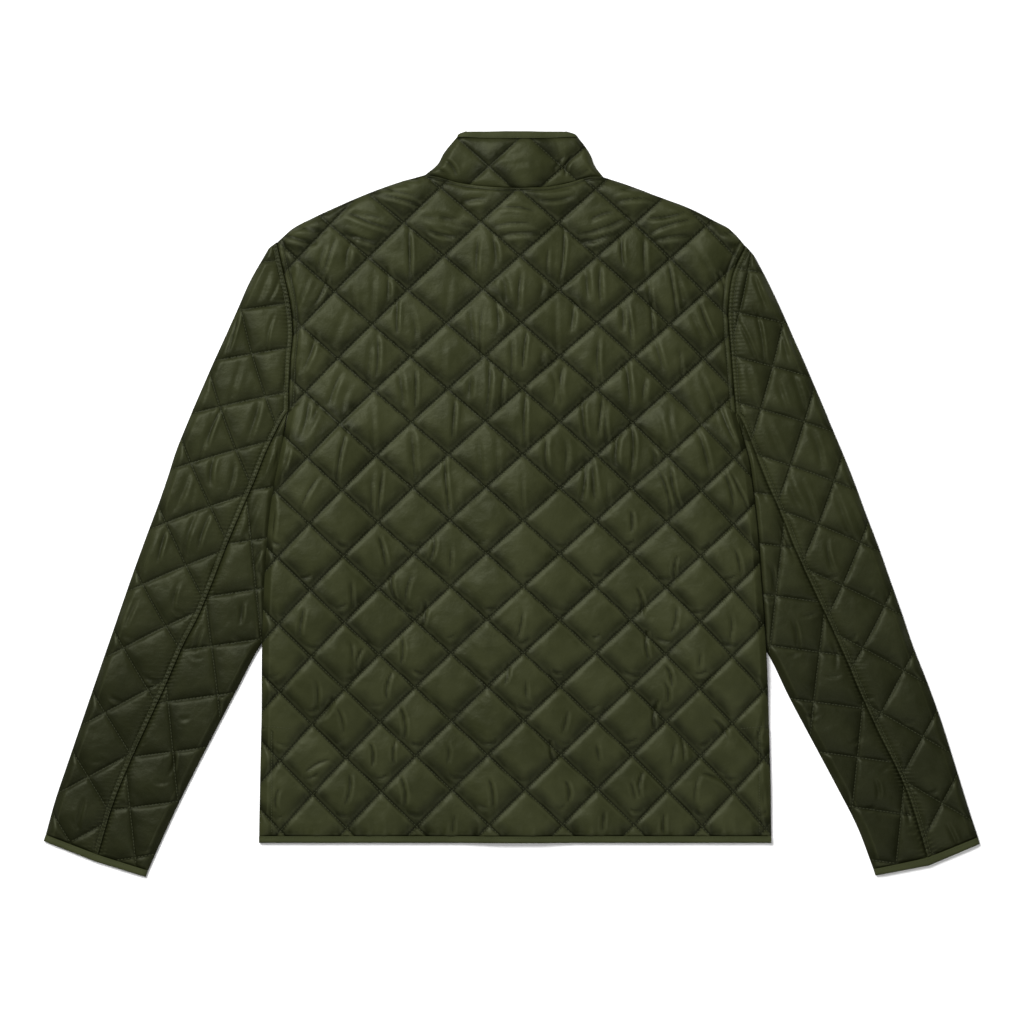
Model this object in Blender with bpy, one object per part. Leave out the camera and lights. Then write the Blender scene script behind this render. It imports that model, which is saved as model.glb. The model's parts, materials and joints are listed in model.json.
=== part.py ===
"""Quilted jacket, size medium, laid face down with its back up and its sleeves at its sides.

Every piece that is cut and sewn on is one closed wall of cloth. X runs across the jacket, Y from
the hem to the collar, and Z up from the surface that the jacket lies on. The wearer's left is at
-X. The tables are in millimetres, with X = 0 at the centre back and Y = 0 at the hem.
"""
import math
from collections import namedtuple

import bmesh
import bpy

# ------------------------------------------------------------------ driving dimensions, in mm
MILLIMETRE = 0.001
CLOTH = 3.0                 # thickness of the quilted cloth: shell, wadding and backing
GAP = 0.3                   # room between two pieces that touch
LAYER = CLOTH + GAP         # height of the upper layer above the lower one
SEAM = 0.2                  # what each piece stands back from a seam line
FRONT_NECK_SEAM = 0.8       # what the fronts stand back from the steep front neckline, in Y
BINDING = 7.0               # width of the bindings on the hem, cuffs and collar
BINDING_ROUND = 1.2         # where the rounding of a hem binding begins
BINDING_PINCH = 0.6         # how much the free edge of a hem binding is rounded
EDGE_DROP = 0.9             # how much the upper layer's face falls to the jacket's outline
SIDE_LIFT = 2.0 * LAYER     # rise of the body where it lies on the sleeves
NECK_SHARE = 0.38           # the neck points, as a share of the half width
OVERLAP_SHARE = 0.062       # half of the strip where the two fronts overlap
OVERLAP_END = 0.14          # where the inner front is down again beside that strip
OVERLAP_BACK_END = 0.24     # where the back is down again
COLLAR_TOP = 739.0          # height of the collar's upper edge at the back and the sides
COLLAR_OPENING = 0.004      # half of the slit between the collar's two ends
FRONT_SEAM = 24.0           # distance of the sleeve's hidden front seam from the inner fold
FRONT_SEAM_MOST = 0.8       # most of the under sleeve's width that this may take
STUD_RADIUS = 7.5
STUD_HEIGHT = 1.5
STUD_ROOM = 0.3             # room around and above a stud cap in its recess
STUD_COUNT = 5
STUD_LOWEST = 110.0
STUD_SPACING = 112.0

# Rows of the body from the shoulder points down to the hem binding. The first seven rows are the
# armhole, which the sleeve shares. lift is the share of SIDE_LIFT that the row has at its sides.
BodyRow = namedtuple("BodyRow", "left_x left_y right_x right_y lift")
BODY_ROWS = [
    BodyRow(-247.5, 624.0, 239.0, 620.0, 0.0),
    BodyRow(-240.0, 590.0, 225.7, 590.7, 0.0),
    BodyRow(-233.5, 560.0, 221.0, 557.0, 0.0),
    BodyRow(-231.0, 530.0, 222.0, 530.0, 0.0),
    BodyRow(-233.5, 501.0, 224.0, 505.0, 0.0),
    BodyRow(-234.8, 475.0, 226.5, 475.0, 0.0),
    BodyRow(-235.6, 449.0, 229.0, 446.0, 0.0),
    BodyRow(-244.8, 401.0, 241.5, 401.0, 1.0),
    BodyRow(-252.0, 365.0, 247.2, 362.0, 1.0),
    BodyRow(-257.0, 325.0, 251.3, 325.0, 1.0),
    BodyRow(-260.5, 275.0, 255.0, 275.0, 1.0),
    BodyRow(-262.5, 230.0, 258.4, 230.0, 1.0),
    BodyRow(-263.3, 188.0, 261.0, 188.0, 1.0),
    BodyRow(-263.6, 148.0, 262.6, 148.0, 0.5),
    BodyRow(-264.5, 105.0, 264.0, 105.0, 0.0),
    BodyRow(-265.5, 58.0, 265.2, 58.0, 0.0),
    BodyRow(-266.4, 7.3, 265.7, 7.3, 0.0),
]
ARMHOLE_ROWS = 7

# Columns of the body, as a share of the half width, with the height of its upper edge: the back
# on each side, and the fronts. side_lift is the share of the side's lift that the column takes.
BodyColumn = namedtuple("BodyColumn", "share left_top right_top front_top side_lift")
BODY_COLUMNS = [
    BodyColumn(1.000, 624.0, 620.0, None, 1.00),
    BodyColumn(0.940, 637.5, 636.0, None, 1.00),
    BodyColumn(0.860, 648.2, 646.9, None, 1.00),
    BodyColumn(0.760, 659.8, 659.0, None, 1.00),
    BodyColumn(0.620, 674.7, 671.5, None, 0.45),
    BodyColumn(0.500, 685.5, 682.5, None, 0.00),
    BodyColumn(NECK_SHARE, 694.0, 692.0, None, 0.00),
    BodyColumn(0.330, 692.0, 692.0, 668.0, 0.00),
    BodyColumn(OVERLAP_BACK_END, 685.8, 686.0, 641.0, 0.00),
    BodyColumn(OVERLAP_END, 682.0, 681.2, 621.0, 0.00),
    BodyColumn(OVERLAP_SHARE, 680.6, 680.4, 613.0, 0.00),
    BodyColumn(0.000, 680.2, 680.2, 612.0, 0.00),
]

# Cap of each sleeve: the outer fold beside each armhole row.
CapRow = namedtuple("CapRow", "left_x left_y right_x right_y")
CAP_ROWS = [
    CapRow(-256.5, 617.5, 248.5, 609.0),
    CapRow(-275.4, 584.5, 261.0, 585.5),
    CapRow(-289.0, 554.0, 276.0, 554.0),
    CapRow(-302.0, 525.0, 288.0, 526.5),
    CapRow(-313.5, 500.0, 298.5, 503.0),
    CapRow(-324.0, 476.0, 310.5, 475.0),
    CapRow(-334.0, 453.0, 322.0, 448.0),
]

# Arm of each sleeve from the underarm to the cuff binding: the outer fold, the hind seam on the
# upper layer, and the inner fold, which lies under the body from the second row to the eighth.
ArmRow = namedtuple("ArmRow", "outer_x outer_y seam_x seam_y inner_x inner_y")
LEFT_ARM_ROWS = [
    ArmRow(-337.5, 444.5, -241.3, 440.5, -238.0, 439.5),
    ArmRow(-352.0, 409.0, -258.0, 407.0, -245.0, 405.5),
    ArmRow(-361.0, 381.0, -270.0, 377.0, -228.0, 380.0),
    ArmRow(-371.0, 352.0, -284.0, 345.0, -209.5, 347.0),
    ArmRow(-383.0, 320.0, -298.0, 312.0, -206.0, 312.0),
    ArmRow(-397.0, 281.5, -313.5, 272.0, -218.5, 272.0),
    ArmRow(-408.5, 248.5, -328.0, 237.0, -240.0, 238.0),
    ArmRow(-420.0, 215.0, -345.0, 204.0, -265.0, 205.0),
    ArmRow(-434.5, 173.0, -363.0, 163.0, -289.0, 160.0),
    ArmRow(-450.0, 127.5, -384.0, 118.0, -315.0, 110.0),
    ArmRow(-465.0, 83.5, -403.0, 76.0, -339.5, 62.0),
    ArmRow(-478.0, 45.0, -418.0, 38.0, -360.0, 19.5),
    ArmRow(-488.0, 8.9, -433.0, -12.4, -381.6, -28.5),
]
RIGHT_ARM_ROWS = [
    ArmRow(326.0, 438.0, 235.2, 438.0, 231.9, 437.5),
    ArmRow(342.0, 400.0, 250.0, 402.0, 242.6, 401.5),
    ArmRow(351.5, 376.0, 262.0, 372.0, 226.0, 378.0),
    ArmRow(364.0, 342.0, 277.0, 338.0, 206.0, 345.0),
    ArmRow(377.0, 308.0, 291.0, 303.0, 203.0, 310.0),
    ArmRow(389.5, 272.5, 308.0, 266.0, 214.0, 270.0),
    ArmRow(401.5, 238.5, 324.0, 232.0, 236.0, 235.0),
    ArmRow(413.0, 204.5, 341.0, 195.0, 262.5, 196.0),
    ArmRow(428.5, 165.0, 358.0, 155.0, 284.0, 152.0),
    ArmRow(442.5, 126.0, 376.0, 116.0, 309.5, 104.0),
    ArmRow(457.0, 80.0, 396.0, 76.0, 333.0, 60.0),
    ArmRow(470.0, 38.0, 411.0, 40.0, 355.0, 17.0),
    ArmRow(480.4, 6.2, 427.5, -15.4, 371.8, -27.0),
]
LEFT_CUFF_EDGE = ArmRow(-490.4, 2.0, -437.0, -19.0, -384.0, -35.4)
RIGHT_CUFF_EDGE = ArmRow(482.6, -1.0, 429.5, -23.4, 374.0, -34.0)

# Collar from the neck seam to its upper edge: its half width at a share of its height.
CollarRow = namedtuple("CollarRow", "share left right")
COLLAR_ROWS = [
    CollarRow(0.00, 94.0, 91.0),
    CollarRow(0.22, 82.0, 83.0),
    CollarRow(0.52, 74.0, 77.0),
    CollarRow(0.78, 64.5, 68.5),
    CollarRow(0.866, 61.0, 65.0),
    CollarRow(0.88, 61.0, 65.0),
    CollarRow(0.96, 58.0, 60.5),
    CollarRow(1.00, 53.0, 54.0),
]
COLLAR_PANEL_ROWS = 5
COLLAR_FRONT_HEIGHT = 59.0  # height of the collar along the front neckline, at its ends
COLLAR_LEVEL_SHARE = 0.24   # where the front collar's upper edge begins to rise to the side fold
COLLAR_FOLD_SHARE = 0.33    # where the flat part of the collar ends beside the side fold

# Section of a fold between the lower and the upper layer: the inset of the wall's outer and
# inner faces from the fold line, and their heights.
FoldPoint = namedtuple("FoldPoint", "outer_inset outer_height inner_inset inner_height")
FOLD = [
    FoldPoint(5.0, 0.0, 5.0, CLOTH),
    FoldPoint(1.2, 0.9, 3.4, CLOTH),
    FoldPoint(0.0, 0.5 * (CLOTH + LAYER), 3.0, 0.5 * (CLOTH + LAYER)),
    FoldPoint(1.2, CLOTH + LAYER - 0.9, 3.4, LAYER),
    FoldPoint(5.0, CLOTH + LAYER, 5.0, LAYER),
]
FOLD_MOST = 0.2             # most of a narrow piece's width that its fold takes
FLAT_SHARES = (0.25, 0.5, 0.75)
LEFT, RIGHT = -1, 1

# ------------------------------------------------------------------ finishes
Finish = namedtuple("Finish", "colour roughness metallic")
SHELL = Finish((0.040, 0.045, 0.018), 0.55, 0.0)
TRIM = Finish((0.046, 0.052, 0.023), 0.65, 0.0)
STUD = Finish((0.25, 0.21, 0.14), 0.35, 1.0)


def new_material(name, finish):
    """Make the Principled material of one piece."""
    material = bpy.data.materials.new(name + "_material")
    material.use_nodes = True
    shader = material.node_tree.nodes["Principled BSDF"]
    shader.inputs["Base Color"].default_value = (*finish.colour, 1.0)
    shader.inputs["Roughness"].default_value = finish.roughness
    shader.inputs["Metallic"].default_value = finish.metallic
    return material


def new_piece(name, points, faces, finish):
    """Make one object from points in millimetres, with its faces pointing out."""
    mesh = bpy.data.meshes.new(name)
    mesh.from_pydata([[value * MILLIMETRE for value in point] for point in points], [], faces)
    shape = bmesh.new()
    shape.from_mesh(mesh)
    bmesh.ops.recalc_face_normals(shape, faces=shape.faces)
    shape.to_mesh(mesh)
    shape.free()
    mesh.shade_smooth()
    mesh.set_sharp_from_angle(angle=math.radians(35.0))
    mesh.materials.append(new_material(name, finish))
    piece = bpy.data.objects.new(name, mesh)
    bpy.context.collection.objects.link(piece)
    return piece


def wall(name, sections, finish, closed=False):
    """Make a wall of cloth from sections, each a list of pairs: outer point and inner point.

    A closed wall joins the end of each section to its start, as a ring does.
    """
    rows = len(sections)
    columns = len(sections[0])
    points = [pair[0] for section in sections for pair in section]
    points += [pair[1] for section in sections for pair in section]
    inner = rows * columns
    faces = []
    for row in range(rows - 1):
        for column in range(columns if closed else columns - 1):
            beside = (column + 1) % columns
            a = row * columns + column
            b = row * columns + beside
            c = b + columns
            d = a + columns
            faces += [(a, b, c), (a, c, d), (inner + c, inner + b, inner + a)]
            faces += [(inner + d, inner + c, inner + a)]
    first = list(range(columns))
    last = [inner - columns + column for column in range(columns)]
    if closed:
        borders = [first + first[:1], last + last[:1]]
    else:
        right = [row * columns + columns - 1 for row in range(rows)]
        left = [row * columns for row in range(rows)]
        borders = [first + right[1:] + last[-2::-1] + left[-2::-1]]
    for border in borders:
        for a, b in zip(border, border[1:]):
            faces += [(a, inner + a, inner + b), (a, inner + b, b)]
    return new_piece(name, points, faces, finish)


def between(low, high, share):
    """A number or a point that is the given share of the way from low to high."""
    if isinstance(low, tuple):
        return tuple(between(a, b, share) for a, b in zip(low, high))
    return low + (high - low) * share


def from_table(table, share, column):
    """Read a column of a table whose share column rises or falls, in straight runs."""
    rows = sorted(table, key=lambda row: row.share)
    for low, high in zip(rows, rows[1:]):
        if share <= high.share:
            run = (share - low.share) / (high.share - low.share)
            return between(getattr(low, column), getattr(high, column), run)
    return getattr(rows[-1], column)


def toward(start, end, distance):
    """The point at a distance from start on the way to end, in plan."""
    return between(start, end, distance / math.dist(start, end))


# ------------------------------------------------------------------ body
def overlap_lift(share, front):
    """Rise of the inner front, or of the back, over the strip where the fronts overlap."""
    end, rise = (OVERLAP_END, LAYER) if front else (OVERLAP_BACK_END, LAYER + GAP)
    run = (end - abs(share)) / (end - OVERLAP_SHARE)
    return rise * min(max(run, 0.0), 1.0)


def top_height(column, share, front):
    """Height of the body's upper edge at one column."""
    if front and column.front_top is not None:
        return column.front_top
    return column.left_top if share < 0.0 else column.right_top


def body_sections(shares, front, over_strip):
    """Sections of a body panel from the shoulder to the hem, at the given columns."""
    lengths = [0.0]
    for above, below in zip(BODY_ROWS, BODY_ROWS[1:]):
        lengths.append(lengths[-1] + math.dist(above[:2], below[:2]))
    top = BODY_ROWS[0]
    base = 0.0 if front else LAYER
    top_seam = FRONT_NECK_SEAM if front else SEAM
    sections = []
    for row, length in zip(BODY_ROWS, lengths):
        fade = (1.0 - length / lengths[-1]) ** 2
        section = []
        for share in shares:
            column = next(one for one in BODY_COLUMNS if one.share == abs(share))
            width = row.right_x if share > 0.0 else -row.left_x
            across = 0.5 * (share + 1.0)
            crown = top_height(column, share, front) - between(top.left_y, top.right_y, across)
            y = between(row.left_y, row.right_y, across) + crown * fade - top_seam * (row is top)
            x = share * (width - SEAM)
            z = base + SIDE_LIFT * row.lift * column.side_lift
            z += overlap_lift(share, front) if over_strip else 0.0
            drop = EDGE_DROP if abs(share) == 1.0 and not front else 0.0
            section.append(((x, y, z + CLOTH - drop), (x, y, z)))
        sections.append(section)
    return sections


def body_shares(low, high):
    """The columns of the body from low to high, across both sides."""
    shares = {column.share for column in BODY_COLUMNS} | {-column.share for column in BODY_COLUMNS}
    return sorted(share for share in shares if low <= share <= high)


def hem_binding(name, panel_sections):
    """The strip that binds a panel's hem, straight under its last section."""
    sections = []
    for y, pinch in ((BINDING, 0.0), (BINDING_ROUND, 0.0), (0.0, BINDING_PINCH)):
        section = []
        for outer, inner in panel_sections[-1]:
            section.append(((outer[0], y, outer[2] - pinch), (inner[0], y, inner[2] + pinch)))
        sections.append(section)
    return wall(name, sections, TRIM)


def build_body():
    """Back on the upper layer and the two fronts on the lower one, with their hem bindings."""
    panels = {
        "back": body_sections(body_shares(-1.0, 1.0), front=False, over_strip=True),
        "left_front": body_sections(body_shares(-1.0, OVERLAP_SHARE), front=True, over_strip=False),
        "right_front": body_sections(body_shares(-OVERLAP_SHARE, 1.0), front=True, over_strip=True),
    }
    pieces = []
    for name, sections in panels.items():
        pieces.append(wall(name, sections, SHELL))
        pieces.append(hem_binding(name + "_hem_binding", sections))
    return pieces


# ------------------------------------------------------------------ sleeves
def flat_run(start, end, shares, base):
    """Points of a flat layer on the way from start to end, at the height of its under face."""
    top, low = (CLOTH, 0.0) if base > 0.0 else (0.0, CLOTH)
    run = []
    for share in shares:
        x, y = between(start, end, share)
        run.append(((x, y, base + top), (x, y, base + low)))
    return run


def fold_run(fold, inward):
    """Points round a fold, from the lower layer to the upper one, sharper on a narrow piece."""
    fit = min(1.0, FOLD_MOST * math.dist(fold, inward) / FOLD[0].outer_inset)
    run = []
    for point in FOLD:
        outer = toward(fold, inward, fit * point.outer_inset)
        inner = toward(fold, inward, fit * point.inner_inset)
        run.append(((*outer, point.outer_height), (*inner, point.inner_height)))
    return run


def folded_section(fold, lower_end, upper_end):
    """Section of a sleeve piece that is folded at its outer or inner side."""
    lower_end = toward(lower_end, fold, SEAM)
    upper_end = toward(upper_end, fold, SEAM)
    back_in = [1.0 - share for share in reversed(FLAT_SHARES)]
    section = flat_run(lower_end, fold, (0.0, *FLAT_SHARES), 0.0)
    section += fold_run(fold, between(lower_end, upper_end, 0.5))
    section += flat_run(fold, upper_end, (*back_in, 1.0), LAYER)
    return section


def ring_section(outer, seam, inner):
    """Section of a cuff binding, a flat ring round the sleeve's end."""
    hidden = front_seam(seam, inner)
    middle = between(hidden, seam, 0.5)
    section = fold_run(inner, middle)
    section += flat_run(inner, seam, (0.25, 0.5, 1.0), LAYER)
    section += flat_run(seam, outer, (0.5, 0.75), LAYER)
    section += reversed(fold_run(outer, middle))
    section += flat_run(outer, hidden, (0.25, 0.5, 1.0), 0.0)
    section += flat_run(hidden, inner, (0.5,), 0.0)
    return section


def arm_points(row):
    """The outer fold, hind seam and inner fold of one arm row, as points in plan."""
    return (row.outer_x, row.outer_y), (row.seam_x, row.seam_y), (row.inner_x, row.inner_y)


def front_seam(seam, inner):
    """Where the hidden front seam crosses an arm row on the lower layer."""
    width = math.dist(seam, inner)
    return toward(inner, seam, min(FRONT_SEAM, FRONT_SEAM_MOST * width))


def build_sleeve(side, side_name, arm_rows, cuff_edge):
    """Top sleeve, under sleeve and cuff binding of one side."""
    top_sections = []
    for body, cap in zip(BODY_ROWS[:ARMHOLE_ROWS], CAP_ROWS):
        armhole = body[:2] if side == LEFT else body[2:4]
        fold = cap[:2] if side == LEFT else cap[2:]
        top_sections.append(folded_section(fold, armhole, armhole))
    under_sections = []
    for row in arm_rows:
        outer, seam, inner = arm_points(row)
        hidden = front_seam(seam, inner)
        top_sections.append(folded_section(outer, hidden, seam))
        under_sections.append(folded_section(inner, hidden, seam))
    end = arm_points(arm_rows[-1])
    edge = arm_points(cuff_edge)
    start = [toward(near, far, 2.0 * SEAM) for near, far in zip(end, edge)]
    ring = [ring_section(*start), ring_section(*edge)]
    return [
        wall(side_name + "_top_sleeve", top_sections, SHELL),
        wall(side_name + "_under_sleeve", under_sections, SHELL),
        wall(side_name + "_cuff_binding", ring, TRIM, closed=True),
    ]


# ------------------------------------------------------------------ collar
def collar_point(side, share, height, front):
    """Point in plan of the collar at a column's share and a share of its height."""
    width = from_table(COLLAR_ROWS, height, "left" if side == LEFT else "right")
    neck_column = "left_top" if side == LEFT else "right_top"
    neck = from_table(BODY_COLUMNS, share, neck_column)
    top = COLLAR_TOP
    if front:
        near = [column for column in BODY_COLUMNS if column.front_top is not None]
        edge = BodyColumn(NECK_SHARE, neck, neck, neck, 0.0)
        neck = from_table(near + [edge], share, "front_top")
        at_end = min(1.0, (NECK_SHARE - share) / (NECK_SHARE - COLLAR_LEVEL_SHARE))
        top = between(COLLAR_TOP, neck + COLLAR_FRONT_HEIGHT, at_end)
    return side * width * share / NECK_SHARE, between(neck, top, height) + SEAM * (height == 0.0)


def collar_front(side, height):
    """One front half of the collar, from its end to the side fold, on the lower layer."""
    run = []
    for share in (COLLAR_OPENING, OVERLAP_SHARE, OVERLAP_END, COLLAR_LEVEL_SHARE, COLLAR_FOLD_SHARE):
        x, y = collar_point(side, share, height, front=True)
        lift = overlap_lift(share, front=True) if side == RIGHT else 0.0
        run.append(((x, y, lift), (x, y, lift + CLOTH)))
    return run


def collar_fold(side, height):
    """The collar round its side fold, from the lower layer to the upper one."""
    width = from_table(COLLAR_ROWS, height, "left" if side == LEFT else "right")
    run = []
    for point in FOLD:
        front = point.outer_height < LAYER - GAP
        outer_share = NECK_SHARE * (1.0 - point.outer_inset / width)
        inner_share = NECK_SHARE * (1.0 - point.inner_inset / width)
        outer = collar_point(side, outer_share, height, front)
        inner = collar_point(side, inner_share, height, front)
        run.append(((*outer, point.outer_height), (*inner, point.inner_height)))
    return run


def collar_section(height):
    """Section of the collar right round, from its left end to its right end."""
    section = collar_front(LEFT, height) + collar_fold(LEFT, height)
    for share in body_shares(-COLLAR_FOLD_SHARE, COLLAR_FOLD_SHARE):
        side = LEFT if share < 0.0 else RIGHT
        x, y = collar_point(side, abs(share), height, front=False)
        z = LAYER + overlap_lift(share, front=False)
        section.append(((x, y, z + CLOTH), (x, y, z)))
    return section + collar_fold(RIGHT, height)[::-1] + collar_front(RIGHT, height)[::-1]


def build_collar():
    """Stand collar, folded at both sides, and the binding along its upper edge."""
    sections = [collar_section(row.share) for row in COLLAR_ROWS]
    return [
        wall("collar", sections[:COLLAR_PANEL_ROWS], SHELL),
        wall("collar_binding", sections[COLLAR_PANEL_ROWS:], TRIM),
    ]


# ------------------------------------------------------------------ press studs
def disc(name, radius, low, high, centre, finish):
    """A round cap with its faces at low and high."""
    mesh = bpy.data.meshes.new(name)
    shape = bmesh.new()
    bmesh.ops.create_cone(
        shape,
        cap_ends=True,
        segments=24,
        radius1=radius * MILLIMETRE,
        radius2=radius * MILLIMETRE,
        depth=(high - low) * MILLIMETRE,
    )
    shape.to_mesh(mesh)
    shape.free()
    mesh.shade_smooth()
    mesh.set_sharp_from_angle(angle=math.radians(35.0))
    mesh.materials.append(new_material(name, finish))
    piece = bpy.data.objects.new(name, mesh)
    piece.location = [value * MILLIMETRE for value in (*centre, 0.5 * (low + high))]
    bpy.context.collection.objects.link(piece)
    return piece


def build_studs(outer_front):
    """The stud caps on the outer front's face, which is down, each flush in its recess."""
    pieces = []
    for number in range(STUD_COUNT):
        centre = (0.0, STUD_LOWEST + number * STUD_SPACING)
        name = "front_stud_" + str(number + 1)
        pieces.append(disc(name, STUD_RADIUS, 0.0, STUD_HEIGHT, centre, STUD))
        room = STUD_HEIGHT + STUD_ROOM
        cutter = disc(name + "_recess", STUD_RADIUS + STUD_ROOM, -room, room, centre, STUD)
        cutter.hide_render = True
        cutter.display_type = "WIRE"
        cut = outer_front.modifiers.new(name + "_cut", "BOOLEAN")
        cut.object = cutter
        cut.operation = "DIFFERENCE"
        cut.solver = "EXACT"
        pieces.append(cutter)
    return pieces


# ------------------------------------------------------------------ whole jacket
def middle_of(pieces):
    """Centre of the pieces' box in plan, in metres."""
    corners = [vertex.co for piece in pieces for vertex in piece.data.vertices]
    middle_x = 0.5 * (min(co.x for co in corners) + max(co.x for co in corners))
    middle_y = 0.5 * (min(co.y for co in corners) + max(co.y for co in corners))
    return middle_x, middle_y


def main():
    """Build the jacket with its origin under the middle of its box."""
    for item in list(bpy.data.objects):
        bpy.data.objects.remove(item, do_unlink=True)
    cloth = build_body()
    cloth += build_sleeve(LEFT, "left", LEFT_ARM_ROWS, LEFT_CUFF_EDGE)
    cloth += build_sleeve(RIGHT, "right", RIGHT_ARM_ROWS, RIGHT_CUFF_EDGE)
    cloth += build_collar()
    outer_front = next(piece for piece in cloth if piece.name == "left_front")
    studs = build_studs(outer_front)
    middle_x, middle_y = middle_of(cloth)
    frame = bpy.data.objects.new("jacket_frame", None)
    frame.location = (-middle_x, -middle_y, 0.0)
    bpy.context.collection.objects.link(frame)
    for piece in cloth + studs:
        piece.parent = frame


main()
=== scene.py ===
"""Quilted jacket laid flat, face down with its back up: its cloth, bindings, stitching and studs.

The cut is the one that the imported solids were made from. Sizes are in millimetres in the cut's own
frame, with X = 0 at the centre back and Y = 0 at the hem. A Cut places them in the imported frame.
"""
import json
import logging
import math
from dataclasses import dataclass, field, replace
from enum import Enum
from typing import Callable, NamedTuple, Sequence

import bmesh
import bpy
import numpy as np
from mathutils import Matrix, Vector
from mathutils.bvhtree import BVHTree

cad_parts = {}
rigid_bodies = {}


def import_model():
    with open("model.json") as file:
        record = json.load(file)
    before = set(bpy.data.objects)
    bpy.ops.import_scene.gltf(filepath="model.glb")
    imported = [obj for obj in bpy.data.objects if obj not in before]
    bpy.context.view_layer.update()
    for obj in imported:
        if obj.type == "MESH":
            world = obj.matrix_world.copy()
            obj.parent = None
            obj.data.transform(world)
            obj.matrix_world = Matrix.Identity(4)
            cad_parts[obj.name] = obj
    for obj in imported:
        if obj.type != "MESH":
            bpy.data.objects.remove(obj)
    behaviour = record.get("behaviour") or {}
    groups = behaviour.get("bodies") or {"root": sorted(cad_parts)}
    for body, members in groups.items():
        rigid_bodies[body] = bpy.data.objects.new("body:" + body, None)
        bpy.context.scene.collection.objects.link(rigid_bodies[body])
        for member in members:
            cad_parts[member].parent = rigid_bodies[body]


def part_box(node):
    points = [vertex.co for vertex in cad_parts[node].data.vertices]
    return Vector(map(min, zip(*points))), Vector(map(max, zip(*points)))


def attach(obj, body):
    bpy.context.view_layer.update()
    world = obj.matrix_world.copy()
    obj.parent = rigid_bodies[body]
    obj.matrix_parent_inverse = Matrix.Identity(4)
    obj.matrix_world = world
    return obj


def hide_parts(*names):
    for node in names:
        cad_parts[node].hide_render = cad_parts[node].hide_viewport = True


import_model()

log = logging.getLogger("jacket")
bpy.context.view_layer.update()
MM = 0.001

# ------------------------------------------------------------------ the cut, in millimetres
CLOTH = 3.0
GAP = 0.3
LAYER = CLOTH + GAP
MID = 0.5 * (CLOTH + LAYER)
SIDE_LIFT = 2.0 * LAYER
BINDING = 7.0
PANEL_END = 7.3
SEAM = 0.12
NECK_SHARE = 0.38
OVERLAP_SHARE = 0.062
OVERLAP_END = 0.14
OVERLAP_BACK_END = 0.24
COLLAR_TOP = 739.0
COLLAR_OPENING = 0.004
COLLAR_FRONT_HEIGHT = 59.0
COLLAR_FOOT = 690.0
COLLAR_HEIGHT = COLLAR_TOP - COLLAR_FOOT
FRONT_SEAM = 24.0
FRONT_SEAM_MOST = 0.8
STUD_RADIUS = 7.5
STUD_LOWEST = 110.0
STUD_SPACING = 112.0
STUD_COUNT = 5
UNDERARM_ROW = 6
UNDER_SLEEVE_ROW = UNDERARM_ROW + 0.35
FAR = 99.0
TOP_ROUND = 9.0
LOW_ROUND = 6.0
FOLD_INSET = 2.6
PUFF_RISE = 4.5
STUD_CLEAR = 5.0
LEAST = 1e-6
FEWEST_POINTS = 3


class BodyRow(NamedTuple):
    """One row of the body: its left and right edge, and the share of SIDE_LIFT at its sides."""

    left_x: float
    left_y: float
    right_x: float
    right_y: float
    lift: float


class BodyColumn(NamedTuple):
    """One column of the body: the height of its upper edge, and its share of the side's lift."""

    share: float
    left_top: float
    right_top: float
    front_top: float
    side_lift: float


class CapRow(NamedTuple):
    """Outer fold of both sleeve caps beside one armhole row."""

    left_x: float
    left_y: float
    right_x: float
    right_y: float


class ArmRow(NamedTuple):
    """Outer fold, hind seam and inner fold of one row of an arm."""

    outer_x: float
    outer_y: float
    seam_x: float
    seam_y: float
    inner_x: float
    inner_y: float


class CollarRow(NamedTuple):
    """Half widths of the collar at a share of its height."""

    share: float
    left: float
    right: float


BODY_ROWS = (
    BodyRow(-247.5, 624.0, 239.0, 620.0, 0.0),
    BodyRow(-240.0, 590.0, 225.7, 590.7, 0.0),
    BodyRow(-233.5, 560.0, 221.0, 557.0, 0.0),
    BodyRow(-231.0, 530.0, 222.0, 530.0, 0.0),
    BodyRow(-233.5, 501.0, 224.0, 505.0, 0.0),
    BodyRow(-234.8, 475.0, 226.5, 475.0, 0.0),
    BodyRow(-235.6, 449.0, 229.0, 446.0, 0.0),
    BodyRow(-244.8, 401.0, 241.5, 401.0, 1.0),
    BodyRow(-252.0, 365.0, 247.2, 362.0, 1.0),
    BodyRow(-257.0, 325.0, 251.3, 325.0, 1.0),
    BodyRow(-260.5, 275.0, 255.0, 275.0, 1.0),
    BodyRow(-262.5, 230.0, 258.4, 230.0, 1.0),
    BodyRow(-263.3, 188.0, 261.0, 188.0, 1.0),
    BodyRow(-263.6, 148.0, 262.6, 148.0, 0.5),
    BodyRow(-264.5, 105.0, 264.0, 105.0, 0.0),
    BodyRow(-265.5, 58.0, 265.2, 58.0, 0.0),
    BodyRow(-266.4, PANEL_END, 265.7, PANEL_END, 0.0),
)
BODY_COLUMNS = (
    BodyColumn(0.000, 680.2, 680.2, 612.0, 0.00),
    BodyColumn(0.062, 680.6, 680.4, 613.0, 0.00),
    BodyColumn(0.140, 682.0, 681.2, 621.0, 0.00),
    BodyColumn(0.240, 685.8, 686.0, 641.0, 0.00),
    BodyColumn(0.330, 692.0, 692.0, 668.0, 0.00),
    BodyColumn(0.380, 694.0, 692.0, 694.0, 0.00),
    BodyColumn(0.500, 685.5, 682.5, 685.5, 0.00),
    BodyColumn(0.620, 674.7, 671.5, 674.7, 0.45),
    BodyColumn(0.760, 659.8, 659.0, 659.8, 1.00),
    BodyColumn(0.860, 648.2, 646.9, 648.2, 1.00),
    BodyColumn(0.940, 637.5, 636.0, 637.5, 1.00),
    BodyColumn(1.000, 624.0, 620.0, 624.0, 1.00),
)
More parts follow.
